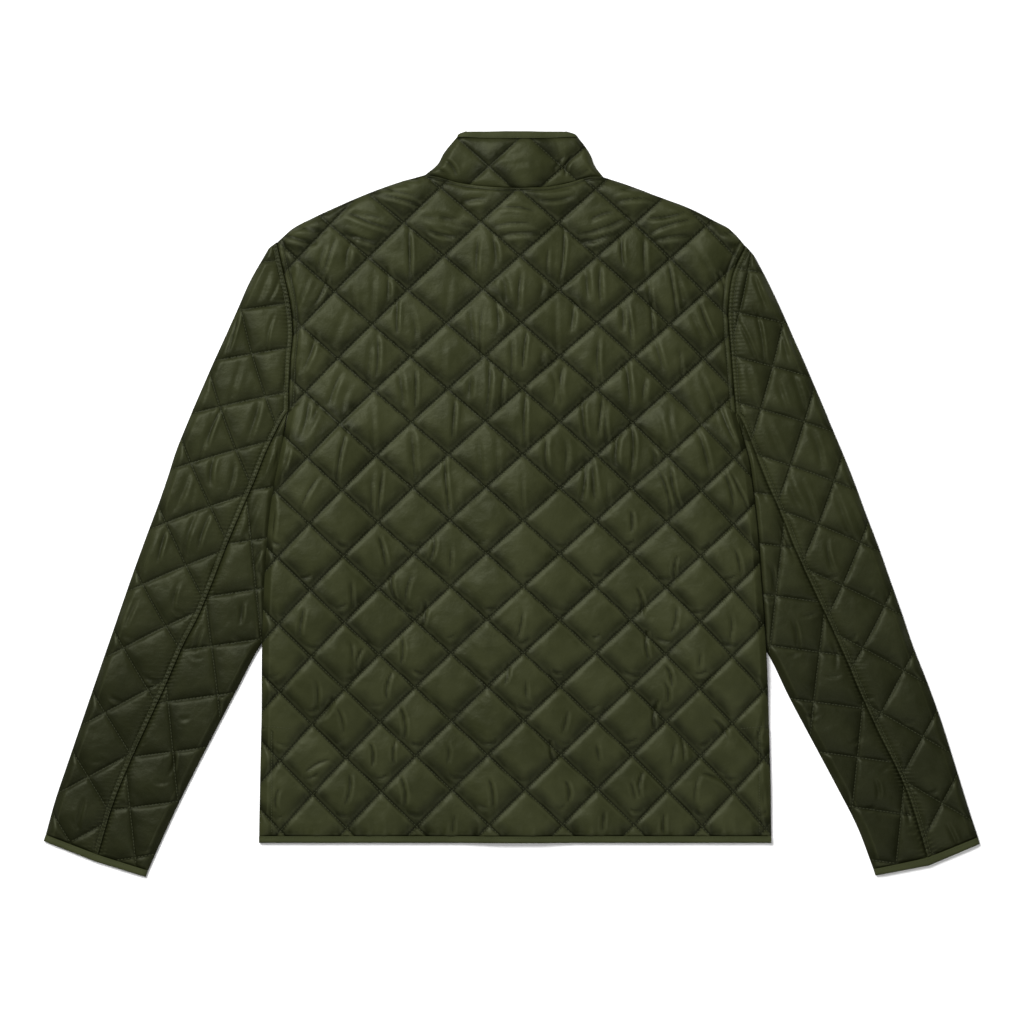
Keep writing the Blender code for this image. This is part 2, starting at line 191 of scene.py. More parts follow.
CAP_ROWS = (
    CapRow(-256.5, 617.5, 248.5, 609.0),
    CapRow(-275.4, 584.5, 261.0, 585.5),
    CapRow(-289.0, 554.0, 276.0, 554.0),
    CapRow(-302.0, 525.0, 288.0, 526.5),
    CapRow(-313.5, 500.0, 298.5, 503.0),
    CapRow(-324.0, 476.0, 310.5, 475.0),
    CapRow(-334.0, 453.0, 322.0, 448.0),
)
LEFT_ARM_ROWS = (
    ArmRow(-337.5, 444.5, -241.3, 440.5, -238.0, 439.5),
    ArmRow(-352.0, 409.0, -258.0, 407.0, -240.5, 405.5),
    ArmRow(-361.0, 381.0, -270.0, 377.0, -228.0, 380.0),
    ArmRow(-371.0, 352.0, -284.0, 345.0, -209.5, 347.0),
    ArmRow(-383.0, 320.0, -298.0, 312.0, -206.0, 312.0),
    ArmRow(-397.0, 281.5, -313.5, 272.0, -218.5, 272.0),
    ArmRow(-408.5, 248.5, -328.0, 237.0, -240.0, 238.0),
    ArmRow(-420.0, 215.0, -345.0, 204.0, -265.0, 205.0),
    ArmRow(-434.5, 173.0, -363.0, 163.0, -289.0, 160.0),
    ArmRow(-450.0, 127.5, -384.0, 118.0, -315.0, 110.0),
    ArmRow(-465.0, 83.5, -403.0, 76.0, -339.5, 62.0),
    ArmRow(-478.0, 45.0, -418.0, 38.0, -360.0, 19.5),
    ArmRow(-488.0, 8.9, -433.0, -12.4, -381.6, -28.5),
)
RIGHT_ARM_ROWS = (
    ArmRow(326.0, 438.0, 235.2, 438.0, 231.9, 437.5),
    ArmRow(342.0, 400.0, 250.0, 402.0, 238.0, 401.5),
    ArmRow(351.5, 376.0, 262.0, 372.0, 226.0, 378.0),
    ArmRow(364.0, 342.0, 277.0, 338.0, 206.0, 345.0),
    ArmRow(377.0, 308.0, 291.0, 303.0, 203.0, 310.0),
    ArmRow(389.5, 272.5, 308.0, 266.0, 214.0, 270.0),
    ArmRow(401.5, 238.5, 324.0, 232.0, 236.0, 235.0),
    ArmRow(413.0, 204.5, 341.0, 195.0, 262.5, 196.0),
    ArmRow(428.5, 165.0, 358.0, 155.0, 284.0, 152.0),
    ArmRow(442.5, 126.0, 376.0, 116.0, 309.5, 104.0),
    ArmRow(457.0, 80.0, 396.0, 76.0, 333.0, 60.0),
    ArmRow(470.0, 38.0, 411.0, 40.0, 355.0, 17.0),
    ArmRow(480.4, 6.2, 427.5, -15.4, 371.8, -27.0),
)
LEFT_CUFF_EDGE = ArmRow(-490.4, 2.0, -437.0, -19.0, -384.0, -35.4)
RIGHT_CUFF_EDGE = ArmRow(482.6, -1.0, 429.5, -23.4, 374.0, -34.0)
COLLAR_ROWS = (
    CollarRow(0.00, 94.0, 91.0),
    CollarRow(0.22, 82.0, 83.0),
    CollarRow(0.52, 74.0, 77.0),
    CollarRow(0.78, 64.5, 68.5),
    CollarRow(0.87, 61.0, 65.0),
    CollarRow(0.96, 58.0, 60.5),
    CollarRow(1.00, 53.0, 54.0),
)
COLLAR_PANEL_SHARE = 0.872
SHARES = [column.share for column in BODY_COLUMNS]


class Side(Enum):
    """The wearer's left and right, with the sign of X on that side."""

    LEFT = -1
    RIGHT = 1

    @property
    def label(self) -> str:
        """The word for this side in the names of pieces."""
        return self.name.lower()


class Slot(Enum):
    """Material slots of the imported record."""

    SHELL = "shell"
    BINDING = "binding"
    STUD = "stud"


@dataclass(frozen=True)
class Cut:
    """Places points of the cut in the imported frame."""

    shift_x: float
    shift_y: float

    @classmethod
    def from_frame(cls) -> "Cut":
        """Find the cut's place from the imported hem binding.

        Returns:
            The cut.
        """
        low, _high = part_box("back_hem_binding")
        edge = BODY_ROWS[-1]
        return cls(low[0] - (edge.left_x + 0.2) * MM, low[1])

    def world(self, points: np.ndarray) -> np.ndarray:
        """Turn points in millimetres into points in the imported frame, in metres."""
        return points * MM + np.array([self.shift_x, self.shift_y, 0.0])

    def spot(self, x: float, y: float, z: float) -> tuple[float, float, float]:
        """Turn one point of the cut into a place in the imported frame."""
        return tuple(float(v) for v in self.world(np.array([x, y, z])))


# ------------------------------------------------------------------ curves and shapes
def hermite(
    t: np.ndarray, start: np.ndarray, slope_in: np.ndarray, end: np.ndarray, slope_out: np.ndarray
) -> np.ndarray:
    """Go smoothly from one knot to the next.

    Args:
        t: how far past the first knot, from 0 to 1.
        start: value at the first knot.
        slope_in: slope there.
        end: value at the second knot.
        slope_out: slope there.

    Returns:
        The values at t.
    """
    return (
        (2 * t**3 - 3 * t**2 + 1) * start
        + (t**3 - 2 * t**2 + t) * slope_in
        + (3 * t**2 - 2 * t**3) * end
        + (t**3 - t**2) * slope_out
    )


def lengths_along(points: np.ndarray) -> np.ndarray:
    """Length of a run of points from its start to each of them."""
    return np.concatenate([[0.0], np.cumsum(np.hypot(*np.diff(points, axis=0).T))])


def smooth_run(rows: np.ndarray, at: np.ndarray) -> np.ndarray:
    """Read a smooth curve through rows of values.

    Args:
        rows: one row of values for each knot.
        at: real row numbers to read at.

    Returns:
        The values there, one row for each number.
    """
    count = len(rows)
    low = np.clip(np.floor(at).astype(int), 0, count - 2)
    t = np.clip(at - low, 0.0, 1.0)[:, None]
    before = rows[np.maximum(low - 1, 0)]
    start, end = rows[low], rows[low + 1]
    after = rows[np.minimum(low + 2, count - 1)]
    slope_in = np.where((low > 0)[:, None], 0.5 * (end - before), end - start)
    slope_out = np.where((low < count - 2)[:, None], 0.5 * (after - start), end - start)
    return hermite(t, start, slope_in, end, slope_out)


def even_rows(rows: np.ndarray, step: float, low: float, high: float) -> np.ndarray:
    """Space row numbers evenly along the curve through rows.

    Args:
        rows: one point for each row.
        step: about how far apart the chosen rows lie.
        low: the first row number.
        high: the last one.

    Returns:
        Real row numbers.
    """
    fine = np.linspace(low, high, 800)
    length = lengths_along(smooth_run(rows, fine))
    count = max(2, int(round(length[-1] / step)) + 1)
    return np.interp(np.linspace(0.0, length[-1], count), length, fine)


def ease(value: np.ndarray) -> np.ndarray:
    """Step softly from 0 to 1 as value goes from 0 to 1."""
    t = np.clip(value, 0.0, 1.0)
    return t * t * (3.0 - 2.0 * t)


def roll(distance: np.ndarray, radius: float, drop: float) -> np.ndarray:
    """Round off a folded edge.

    Args:
        distance: distance from the fold.
        radius: where the rounding ends.
        drop: the whole fall.

    Returns:
        How far the surface has fallen.
    """
    t = 1.0 - np.clip(distance / radius, 0.0, 1.0)
    return drop * (1.0 - np.sqrt(np.maximum(0.0, 1.0 - t * t)))


def soft_noise(x: np.ndarray, y: np.ndarray, size: float, seed: int) -> np.ndarray:
    """Make smooth seeded noise.

    Args:
        x: places in X.
        y: places in Y.
        size: about how wide its bumps are.
        seed: which noise it is.

    Returns:
        Values from about -1 to 1.
    """
    table = np.random.default_rng(seed).uniform(-1.0, 1.0, (64, 64))
    u, v = x / size + 31.7, y / size + 17.3
    i, j = np.floor(u).astype(int), np.floor(v).astype(int)
    s, t = ease(u - i), ease(v - j)
    i0, i1, j0, j1 = i % 64, (i + 1) % 64, j % 64, (j + 1) % 64
    low = table[i0, j0] * (1 - s) + table[i1, j0] * s
    high = table[i0, j1] * (1 - s) + table[i1, j1] * s
    return low * (1 - t) + high * t


# ------------------------------------------------------------------ quilting
@dataclass(frozen=True)
class Drift:
    """How the lines of a large panel stray, in millimetres, from middle to edge and top to hem."""

    middle_x: float = 0.0
    middle_y: float = 350.0
    half_x: float = 250.0
    half_y: float = 330.0
    shift: float = -2.2
    widen: float = 4.7
    lean: float = 2.8
    bow: float = -1.7
    pinch: float = -1.2
    waist: float = 7.1
    narrow: float = -13.5
    twist: float = -3.3
    rise: float = 4.6
    spread: float = -9.3
    smile: float = -5.1
    crown: float = -2.4
    tilt: float = -1.3
    curl: float = 6.8
    reach: float = 1.1

    def at(self, x: np.ndarray, y: np.ndarray) -> tuple[np.ndarray, np.ndarray]:
        """Find how far the lines stray.

        Args:
            x: places in X.
            y: places in Y.

        Returns:
            The shift in X and the shift in Y.
        """
        u = np.clip((x - self.middle_x) / self.half_x, -self.reach, self.reach)
        v = np.clip((y - self.middle_y) / self.half_y, -self.reach, self.reach)
        in_x = self.shift + self.widen * u + self.lean * u * v + self.bow * u**2 + self.pinch * v**2
        in_x = in_x + self.waist * u * v**2 + self.narrow * u**3 + self.twist * v**3
        in_y = self.rise + self.spread * v + self.smile * u**2 + self.crown * v**2
        in_y = in_y + self.tilt * u * v + self.curl * v**3
        return in_x, in_y


@dataclass(frozen=True)
class Quilting:
    """A lattice of quilted diamonds: its lines are where either coordinate is a whole number.

    The lattice is turned by angle, in degrees, about a centre, and above bend_from it curves with
    the grain of a sleeve's cap. Mirror is -1 where the sleeve is the mirror image.
    """

    centre_x: float
    centre_y: float
    width: float
    height: float
    phase_a: float = 0.0
    phase_b: float = 0.0
    angle: float = 0.0
    bend_from: float = 0.0
    bend: float = 0.0
    bend_middle: float = 0.0
    mirror: int = 1
    flare: float = 0.0
    flare_length: float = 640.0
    wander: float = 0.02
    wander_size: float = 90.0
    seed: int = 3
    drift: Drift | None = None

    def lines(self, x: np.ndarray, y: np.ndarray) -> tuple[np.ndarray, np.ndarray]:
        """Find the lattice coordinates of points of the cut.

        Args:
            x: places in X.
            y: places in Y.

        Returns:
            Both coordinates, which rise towards the hem.
        """
        turn = math.radians(self.angle)
        if self.drift is not None:
            drift_x, drift_y = self.drift.at(x, y)
            x, y = x - drift_x, y - drift_y
        across = self.mirror * x - self.centre_x
        along = self.centre_y - y
        s = along * math.cos(turn) - across * math.sin(turn)
        t = across * math.cos(turn) + along * math.sin(turn)
        above = np.maximum(0.0, self.bend_from - s)
        t_bent = t - self.bend * above**2
        s_bent = s - 2.0 * self.bend * above * (t - self.bend_middle)
        width = self.width + self.flare * np.clip(1.0 - along / self.flare_length, 0.0, 1.0)
        stray_a = self.wander * soft_noise(x, y, self.wander_size, self.seed)
        stray_b = self.wander * soft_noise(x, y, self.wander_size, self.seed + 1)
        a = s_bent / self.height - t_bent / width + self.phase_a + stray_a
        b = s_bent / self.height + t_bent / width + self.phase_b + stray_b
        return a, b

    def pitch(self) -> float:
        """Distance between two neighbouring lines."""
        return self.width * self.height / math.hypot(self.width, self.height)

    def locate(self, a: np.ndarray, b: np.ndarray) -> tuple[np.ndarray, np.ndarray]:
        """Find points of the cut at lattice coordinates, by Newton steps.

        Args:
            a: first coordinates.
            b: second coordinates.

        Returns:
            Their places in X and in Y.
        """
        nudge, most, least = 0.5, 80.0, 1e-9
        x = np.full_like(a, self.mirror * self.centre_x)
        y = np.full_like(a, self.centre_y - 200.0)
        for _step in range(14):
            a0, b0 = self.lines(x, y)
            a_in_x, b_in_x = ((new - old) / nudge for new, old in zip(self.lines(x + nudge, y), (a0, b0)))
            a_in_y, b_in_y = ((new - old) / nudge for new, old in zip(self.lines(x, y + nudge), (a0, b0)))
            det = a_in_x * b_in_y - a_in_y * b_in_x
            det = np.where(np.abs(det) < least, least, det)
            da, db = a - a0, b - b0
            x = x + np.clip((da * b_in_y - db * a_in_y) / det, -most, most)
            y = y + np.clip((db * a_in_x - da * b_in_x) / det, -most, most)
        return x, y


@dataclass(frozen=True)
class Puff:
    """How the wadding lifts the cloth between quilting lines, in millimetres."""

    edge: float = 2.2
    dome: float = 1.9
    reach: float = 1.9
    steepness: float = 1.25
    uneven: float = 0.24
    seed: int = 11

    def relief(self, quilting: Quilting, x: np.ndarray, y: np.ndarray) -> np.ndarray:
        """Raise the cloth between the lines.

        Args:
            quilting: the lattice of lines.
            x: places in X.
            y: places in Y.

        Returns:
            Height above the stitched lines.
        """
        a, b = quilting.lines(x, y)
        pitch = quilting.pitch()
        near = (np.abs(a - np.round(a)) * pitch, np.abs(b - np.round(b)) * pitch)
        walls = [1 - np.exp(-((d / self.reach) ** self.steepness)) for d in near]
        wall = walls[0] * walls[1]
        dome = np.sin(np.pi * (a - np.floor(a))) * np.sin(np.pi * (b - np.floor(b)))
        table = np.random.default_rng(self.seed).uniform(-1.0, 1.0, (64, 64))
        each = 1.0 + self.uneven * table[np.floor(a).astype(int) % 64, np.floor(b).astype(int) % 64]
        return self.edge * wall + self.dome * each * dome**0.85 * wall**0.3


class Crease(NamedTuple):
    """A soft trough with a low ridge beside it; angle is measured from +Y towards +X."""

    x: float
    y: float
    angle: float
    length: float
    bow: float
    width: float
    depth: float


def crease_relief(x: np.ndarray, y: np.ndarray, creases: Sequence[Crease]) -> np.ndarray:
    """Add up creases at points of the cut.

    Args:
        x: places in X.
        y: places in Y.
        creases: the creases.

    Returns:
        Height, below 0 in the troughs and above 0 on the ridges beside them.
    """
    total = np.zeros_like(x)
    for crease in creases:
        reach = 0.5 * crease.length + 4.0 * crease.width + abs(crease.bow)
        near = (np.abs(x - crease.x) < reach) & (np.abs(y - crease.y) < reach)
        if not near.any():
            continue
        turn = math.radians(crease.angle)
        dx, dy = x[near] - crease.x, y[near] - crease.y
        along = dx * math.sin(turn) + dy * math.cos(turn)
        across = dx * math.cos(turn) - dy * math.sin(turn)
        t = np.clip(along / crease.length + 0.5, 0.0, 1.0)
        taper = np.sin(np.pi * t) ** 0.8
        d = (across - crease.bow * 4.0 * t * (1.0 - t)) / crease.width
        total[near] += crease.depth * taper * (
            0.45 * np.exp(-((d - 1.8) ** 2)) - np.exp(-(d**2)) + 0.12 * np.exp(-((d + 2.0) ** 2))
        )
    return total


# ------------------------------------------------------------------ meshes
class Wall(NamedTuple):
    """A wall of cloth: a fine outer face, and an inner one with only some of its rows and columns."""

    face: np.ndarray
    back: np.ndarray
    rows: Sequence[int]
    columns: Sequence[int]
    closed: bool = False


def picks(count: int, step: int) -> list[int]:
    """Pick numbers evenly, with the first and the last.

    Args:
        count: how many numbers there are.
        step: one of so many is picked.

    Returns:
        The picked numbers.
    """
    chosen = list(range(0, count - 1, step))
    if len(chosen) > 1 and count - 1 - chosen[-1] < step // 2:
        chosen.pop()
    return [*chosen, count - 1]


def wall_faces(wall: Wall) -> list[list[int]]:
    """List the faces of a closed wall.

    Args:
        wall: the wall, whose outer points are numbered before its inner ones.

    Returns:
        Vertex numbers of each face.
    """
    high, wide = wall.face.shape[:2]
    outer = np.arange(high * wide).reshape(high, wide)
    inner = high * wide + np.arange(len(wall.rows) * len(wall.columns))
    inner = inner.reshape(len(wall.rows), len(wall.columns))
    columns = list(wall.columns)
    if wall.closed:
        outer = np.hstack([outer, outer[:, :1]])
        inner = np.hstack([inner, inner[:, :1]])
        columns.append(wide)
    faces = []
    for grid in (outer, inner):
        corners = (grid[:-1, :-1], grid[:-1, 1:], grid[1:, 1:], grid[1:, :-1])
        quads = np.stack(corners, axis=-1).reshape(-1, 4)
        faces += quads.tolist() if grid is outer else quads[:, ::-1].tolist()
    for row, back_row in ((0, 0), (high - 1, len(wall.rows) - 1)):
        for k, (low, top) in enumerate(zip(columns, columns[1:])):
            edge = outer[row, low : top + 1].tolist()
            faces.append([*edge, int(inner[back_row, k + 1]), int(inner[back_row, k])])
    if not wall.closed:
        for column, back_column in ((0, 0), (wide - 1, len(wall.columns) - 1)):
            for k, (low, top) in enumerate(zip(wall.rows, wall.rows[1:])):
                edge = outer[low : top + 1, column].tolist()
                faces.append([*edge, int(inner[k + 1, back_column]), int(inner[k, back_column])])
    return faces


def new_object(
    name: str, points: np.ndarray, faces: list[list[int]], sharp: float
) -> bpy.types.Object:
    """Make an object from points in metres, with its faces pointing out.

    Args:
        name: the piece's name.
        points: one row for each vertex.
        faces: vertex numbers of each face.
        sharp: edges with a sharper turn than this, in degrees, are not shaded smooth.

    Returns:
        The object, linked to the scene.
    """
    mesh = bpy.data.meshes.new(name)
    mesh.from_pydata(points.tolist(), [], faces)
    shape = bmesh.new()
    shape.from_mesh(mesh)
    bmesh.ops.recalc_face_normals(shape, faces=shape.faces)
    shape.to_mesh(mesh)
    shape.free()
    mesh.shade_smooth()
    mesh.set_sharp_from_angle(angle=math.radians(sharp))
    piece = bpy.data.objects.new(name, mesh)
    bpy.context.collection.objects.link(piece)
    return piece


# The finish paints shade in creases and a highlight on ridges from these values.
def hollows(height: np.ndarray) -> np.ndarray:
    """Find how hollow a face is at each point.

    Args:
        height: the face's grid of heights.

    Returns:
        0.5 where it is flat, up to 1 in a crease and down to 0 on a ridge.
    """
    strength = 0.42
    bend = np.zeros_like(height)
    above, below = height[:-2, 1:-1], height[2:, 1:-1]
    left, right = height[1:-1, :-2], height[1:-1, 2:]
    bend[1:-1, 1:-1] = above + below + left + right - 4.0 * height[1:-1, 1:-1]
    return np.clip(0.5 + strength * bend, 0.0, 1.0)


def flat_size(wall: Wall) -> list[float]:
    """Measure a wall's outer face in plan.

    Args:
        wall: the wall.

    Returns:
        Its width, its length and its area, in metres.
    """
    plan = wall.face[..., :2]
    steps = [np.hypot(*np.moveaxis(np.diff(plan, axis=axis), -1, 0)) for axis in (1, 0)]
    if wall.closed:
        steps[0] = np.hstack([steps[0], np.hypot(*(plan[:, 0] - plan[:, -1]).T)[:, None]])
    first, second = plan[1:, 1:] - plan[:-1, :-1], plan[1:, :-1] - plan[:-1, 1:]
    patches = 0.5 * np.abs(first[..., 0] * second[..., 1] - first[..., 1] * second[..., 0])
    width, length = steps[0].sum(axis=1).max(), steps[1].sum(axis=0).max()
    return [float(width) * MM, float(length) * MM, float(patches.sum()) * MM**2]


def wall_object(
    name: str, cut: Cut, wall: Wall, quilt: tuple[np.ndarray, np.ndarray] | None
) -> bpy.types.Object:
    """Make a wall of cloth.

    Args:
        name: the piece's name.
        cut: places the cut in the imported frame.
        wall: the wall's points.
        quilt: lattice coordinates of its outer face, kept for its finish.

    Returns:
        The object, which also keeps its flat size.
    """
    points = np.concatenate([wall.face.reshape(-1, 3), wall.back.reshape(-1, 3)])
    piece = new_object(name, cut.world(points), wall_faces(wall), sharp=70.0)
    values = np.full((len(points), 3), 0.5)
    if quilt is not None:
        count = wall.face.shape[0] * wall.face.shape[1]
        values[:count, 0] = quilt[0].ravel()
        values[:count, 1] = quilt[1].ravel()
        values[:count, 2] = hollows(wall.face[..., 2]).ravel()
    piece["cut"] = flat_size(wall)
    stored = piece.data.attributes.new("quilt", "FLOAT_VECTOR", "POINT")
    stored.data.foreach_set("vector", values.ravel())
    return piece


def finish_piece(
    piece: bpy.types.Object, material: bpy.types.Material, nodes: Sequence[str]
) -> None:
    """Give a piece its finish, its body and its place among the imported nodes.

    Args:
        piece: the piece.
        material: its finish.
        nodes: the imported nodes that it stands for.
    """
    piece.data.materials.append(material)
    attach(piece, "root")
    if nodes:
        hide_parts(*nodes)
    log.info("%s: %d faces", piece.name, len(piece.data.polygons))


def declare_cloth(
    piece: bpy.types.Object
) -> None:
    """Log the size of the cut that a laid panel was built from.

    Args:
        piece: the panel.
    """
    width, length, area = piece["cut"]
    round(min(area, 0.99 * width * length), 5)
    log.info("%s: cut %.3f x %.3f m, %.4f m2", piece.name, width, length, area)


# ------------------------------------------------------------------ body
def table_curve(at: np.ndarray, knots: Sequence[float], values: Sequence[float]) -> np.ndarray:
    """Read a smooth curve through values.

    Args:
        at: where to read it.
        knots: rising places of the values.
        values: one value for each knot.

    Returns:
        The values there.
    """
    knots, values = np.array(knots, float), np.array(values, float)
    slopes = np.gradient(values, knots)
    low = np.clip(np.searchsorted(knots, at, side="right") - 1, 0, len(knots) - 2)
    run = knots[low + 1] - knots[low]
    t = np.clip((at - knots[low]) / run, 0.0, 1.0)
    return hermite(t, values[low], run * slopes[low], values[low + 1], run * slopes[low + 1])


def body_edge(side: Side, at: np.ndarray) -> np.ndarray:
    """Find points of the body's armhole and side edge.

    Args:
        side: which side of the body.
        at: real row numbers.

    Returns:
        One point for each row number.
    """
    start = 0 if side is Side.LEFT else 2
    rows = np.array([row[start : start + 2] for row in BODY_ROWS], float)
    hole = smooth_run(rows[: UNDERARM_ROW + 1], np.minimum(at, UNDERARM_ROW))
    edge = smooth_run(rows[UNDERARM_ROW:], np.maximum(at - UNDERARM_ROW, 0.0))
    return np.where((at < UNDERARM_ROW)[:, None], hole, edge)


def top_edge(share: np.ndarray, front: bool) -> np.ndarray:
    """Find the height of the body's upper edge.

    Args:
        share: shares of the half width, below 0 on the left.
        front: whether it is the fronts' neckline.

    Returns:
        One height for each share.
    """
    neck = SHARES.index(NECK_SHARE)
    result = np.zeros_like(share)
    for side, column in ((Side.LEFT, "left_top"), (Side.RIGHT, "right_top")):
        names = ["front_top" if front and number < neck else column for number in range(len(SHARES))]
        tops = [getattr(row, name) for row, name in zip(BODY_COLUMNS, names)]
        size = np.abs(share)
        inside = table_curve(size, SHARES[: neck + 1], tops[: neck + 1])
        outside = table_curve(size, SHARES[neck:], tops[neck:])
        here = (share < 0.0) if side is Side.LEFT else (share >= 0.0)
        result = np.where(here, np.where(size < NECK_SHARE, inside, outside), result)
    return result


def strip_lift(share: np.ndarray, front: bool) -> np.ndarray:
    """Rise of the inner front, or of the back, over the strip where the fronts overlap."""
    end, rise = (OVERLAP_END, LAYER) if front else (OVERLAP_BACK_END, LAYER + GAP)
    return rise * ease((end - np.abs(share)) / (end - OVERLAP_SHARE))


@dataclass
class BodyGrid:
    """A grid over the body, from the shoulders to the hem."""

    shares: np.ndarray
    at: np.ndarray
    front: bool = False
    x: np.ndarray = field(init=False)
    y: np.ndarray = field(init=False)
    side: np.ndarray = field(init=False)
    above: np.ndarray = field(init=False)
    lift: np.ndarray = field(init=False)

    def __post_init__(self) -> None:
        """Work out the grid's points and its distances from the panel's edges."""
        left, right = body_edge(Side.LEFT, self.at), body_edge(Side.RIGHT, self.at)
        knots = np.arange(len(BODY_ROWS), dtype=float)
        length = lengths_along(np.array([row[:2] for row in BODY_ROWS]))
        fade = (1.0 - np.interp(self.at, knots, length) / length[-1]) ** 2
        share = self.shares[None, :]
        half = np.where(share < 0.0, -left[:, :1], right[:, :1])
        self.x = share * (half - SEAM)
        across = 0.5 * (share + 1.0)
        top = top_edge(self.shares, self.front)[None, :]
        crown = top - (BODY_ROWS[0].left_y * (1 - across) + BODY_ROWS[0].right_y * across)
        self.y = left[:, 1:] * (1 - across) + right[:, 1:] * across + crown * fade[:, None]
        self.side = (1.0 - np.abs(share)) * half
        self.above = top - self.y
        rise = np.interp(self.at, knots, [row.lift for row in BODY_ROWS])
        spread = np.interp(np.abs(self.shares), SHARES, [row.side_lift for row in BODY_COLUMNS])
        self.lift = SIDE_LIFT * ease(rise)[:, None] * ease(spread)[None, :]


BACK_QUILTING = Quilting(47.5, 645.0, 73.3, 70.1, flare=3.4, drift=Drift(), wander=0.012)
SMALL_STEPS = (0.0, 0.5, 1.1, 1.9, 2.9, 4.1, 5.2, 6.3)


def bell(distance: np.ndarray, width: float) -> np.ndarray:
    """Rise of 1 at distance 0, which fades over width."""
    return np.exp(-((distance / width) ** 2))


def welt(distance: np.ndarray, width: float, rise: float) -> np.ndarray:
    """Shape a turned, topstitched strip beside a seam.

    Args:
        distance: distance from the seam.
        width: the strip's width.
        rise: the strip's height.

    Returns:
        Height, with a groove at the seam and a shallow one at the stitches.
    """
    strip = rise * (1.0 - np.clip(np.abs(distance - 0.5 * width) / (0.5 * width), 0.0, 1.0) ** 4)
    return strip - bell(distance, 0.8) - 0.45 * bell(distance - width, 0.8)


def body_shares(low: float, high: float, step: float) -> np.ndarray:
    """Space a body panel's columns, closer together beside the body's edges.

    Args:
        low: the first column's share of the half width, below 0 on the left.
        high: the last column's share.
        step: about how far apart the columns lie, in millimetres.

    Returns:
        The columns' shares.
    """
    half = 262.0
    ends = []
    if low == -1.0:
        ends += [-1.0 + d / half for d in SMALL_STEPS]
    if high == 1.0:
        ends += [1.0 - d / half for d in SMALL_STEPS]
    start = ends[len(SMALL_STEPS) - 1] + step / half if low == -1.0 else low
    end = (1.0 - (SMALL_STEPS[-1] + step) / half) if high == 1.0 else high
    knots = [start, *[s for s in (-NECK_SHARE, 0.0, NECK_SHARE) if start < s < end], end]
    runs = [
        np.linspace(a, b, max(2, int(round((b - a) * half / step)) + 1)) for a, b in zip(knots, knots[1:])
    ]
    return np.unique(np.round(np.concatenate([np.array(ends), *runs]), 7))


@dataclass
class BackPanel:
    """The quilted back, one piece from the collar to the hem."""

    cut: Cut
    step: float = 2.08
    puff: Puff = Puff()
    first_row: float = 34.8
    hole_strip: float = 5.0
    vent_top: float = 118.0
    vent_strip: float = 12.0
    creases: tuple[Crease, ...] = ()

    def relief(self, grid: BodyGrid) -> np.ndarray:
        """Shape the quilted face over the plain wall.

        Args:
            grid: the panel's grid.

        Returns:
            Height over the wall at each of its points.
        """
        x, y = grid.x, grid.y
        hem = y - PANEL_END
        hem_sewn = hem + 1.0
        by_hole = (grid.at < UNDERARM_ROW)[:, None]
        by_neck = (np.abs(grid.shares) < NECK_SHARE)[None, :]
        hole = np.where(by_hole, grid.side, FAR)
        neck = np.where(by_neck, grid.above, FAR)
        shoulder = np.where(by_neck, FAR, grid.above)
        sewn = np.minimum(np.minimum(hem_sewn, neck), hole)
        free = np.minimum(hem_sewn, np.minimum(grid.above - 1.0, hole - 4.6))
        quilted = self.puff.relief(BACK_QUILTING, x, y) * (1.0 - np.exp(-np.maximum(free, 0.0) / PUFF_RISE))
        wrinkles = crease_relief(x, y, self.creases) * ease(sewn / 9.0)
        pinch = 0.7 * bell(neck - 0.9, 0.9) - 0.7 * bell(hem_sewn, 1.6) - 0.9 * bell(neck - 3.0, 1.3)
        pinch = pinch + welt(hole, self.hole_strip, 0.55)
        pinch = pinch + 0.35 * np.exp(-hole / 4.0) * soft_noise(x * 0.15, y, 3.1, 37)
        edge = np.where(y < self.vent_top, roll(grid.side, 3.0, 1.3), roll(grid.side, 10.0, 3.0))
        edge = np.where(by_hole, 0.0, edge)
        shoulder_roll = roll(shoulder * 0.9, 10.0, 3.0)
        turned = np.where(y < self.vent_top, 0.5 * bell(grid.side - self.vent_strip, 1.6), 0.0)
        hem_pucker = 1.1 * np.exp(-hem / 12.0) * soft_noise(x, y * 0.2, 5.5, 23)
        calm = 0.9 * ease(grid.side / 9.0) + 0.1
        fine = 0.16 * soft_noise(x, y, 7.0, 29) + 0.5 * soft_noise(x, y, 15.0, 31)
        return (quilted + wrinkles + fine) * calm + pinch + hem_pucker - edge - shoulder_roll - turned

    def build(self, finish: bpy.types.Material) -> bpy.types.Object:
        """Make the back as a closed wall.

        Args:
            finish: the cloth's finish.

        Returns:
            The panel.
        """
        shares = body_shares(-1.0, 1.0, self.step)
        rows = np.array([row[:2] for row in BODY_ROWS], float)
        at = even_rows(rows, self.step, 0.0, len(rows) - 1.0)
        near_top = np.array(SMALL_STEPS[:-1]) / self.first_row
        at = np.concatenate([near_top, at[at > 5.6 / self.first_row]])
        grid = BodyGrid(shares, at)
        low = LAYER + grid.lift + strip_lift(shares, front=False)[None, :]
        top = low + CLOTH + self.relief(grid)
        row_picks, column_picks = picks(len(at), 12), picks(len(shares), 12)
        face = np.stack([grid.x, grid.y, top], axis=-1)
        back = np.stack([grid.x, grid.y, low], axis=-1)[np.ix_(row_picks, column_picks)]
        quilt = BACK_QUILTING.lines(grid.x, grid.y)
        wall = Wall(face, back, row_picks, column_picks)
        piece = wall_object("back_panel", self.cut, wall, quilt)
        finish_piece(piece, finish, ["back"])
        return piece


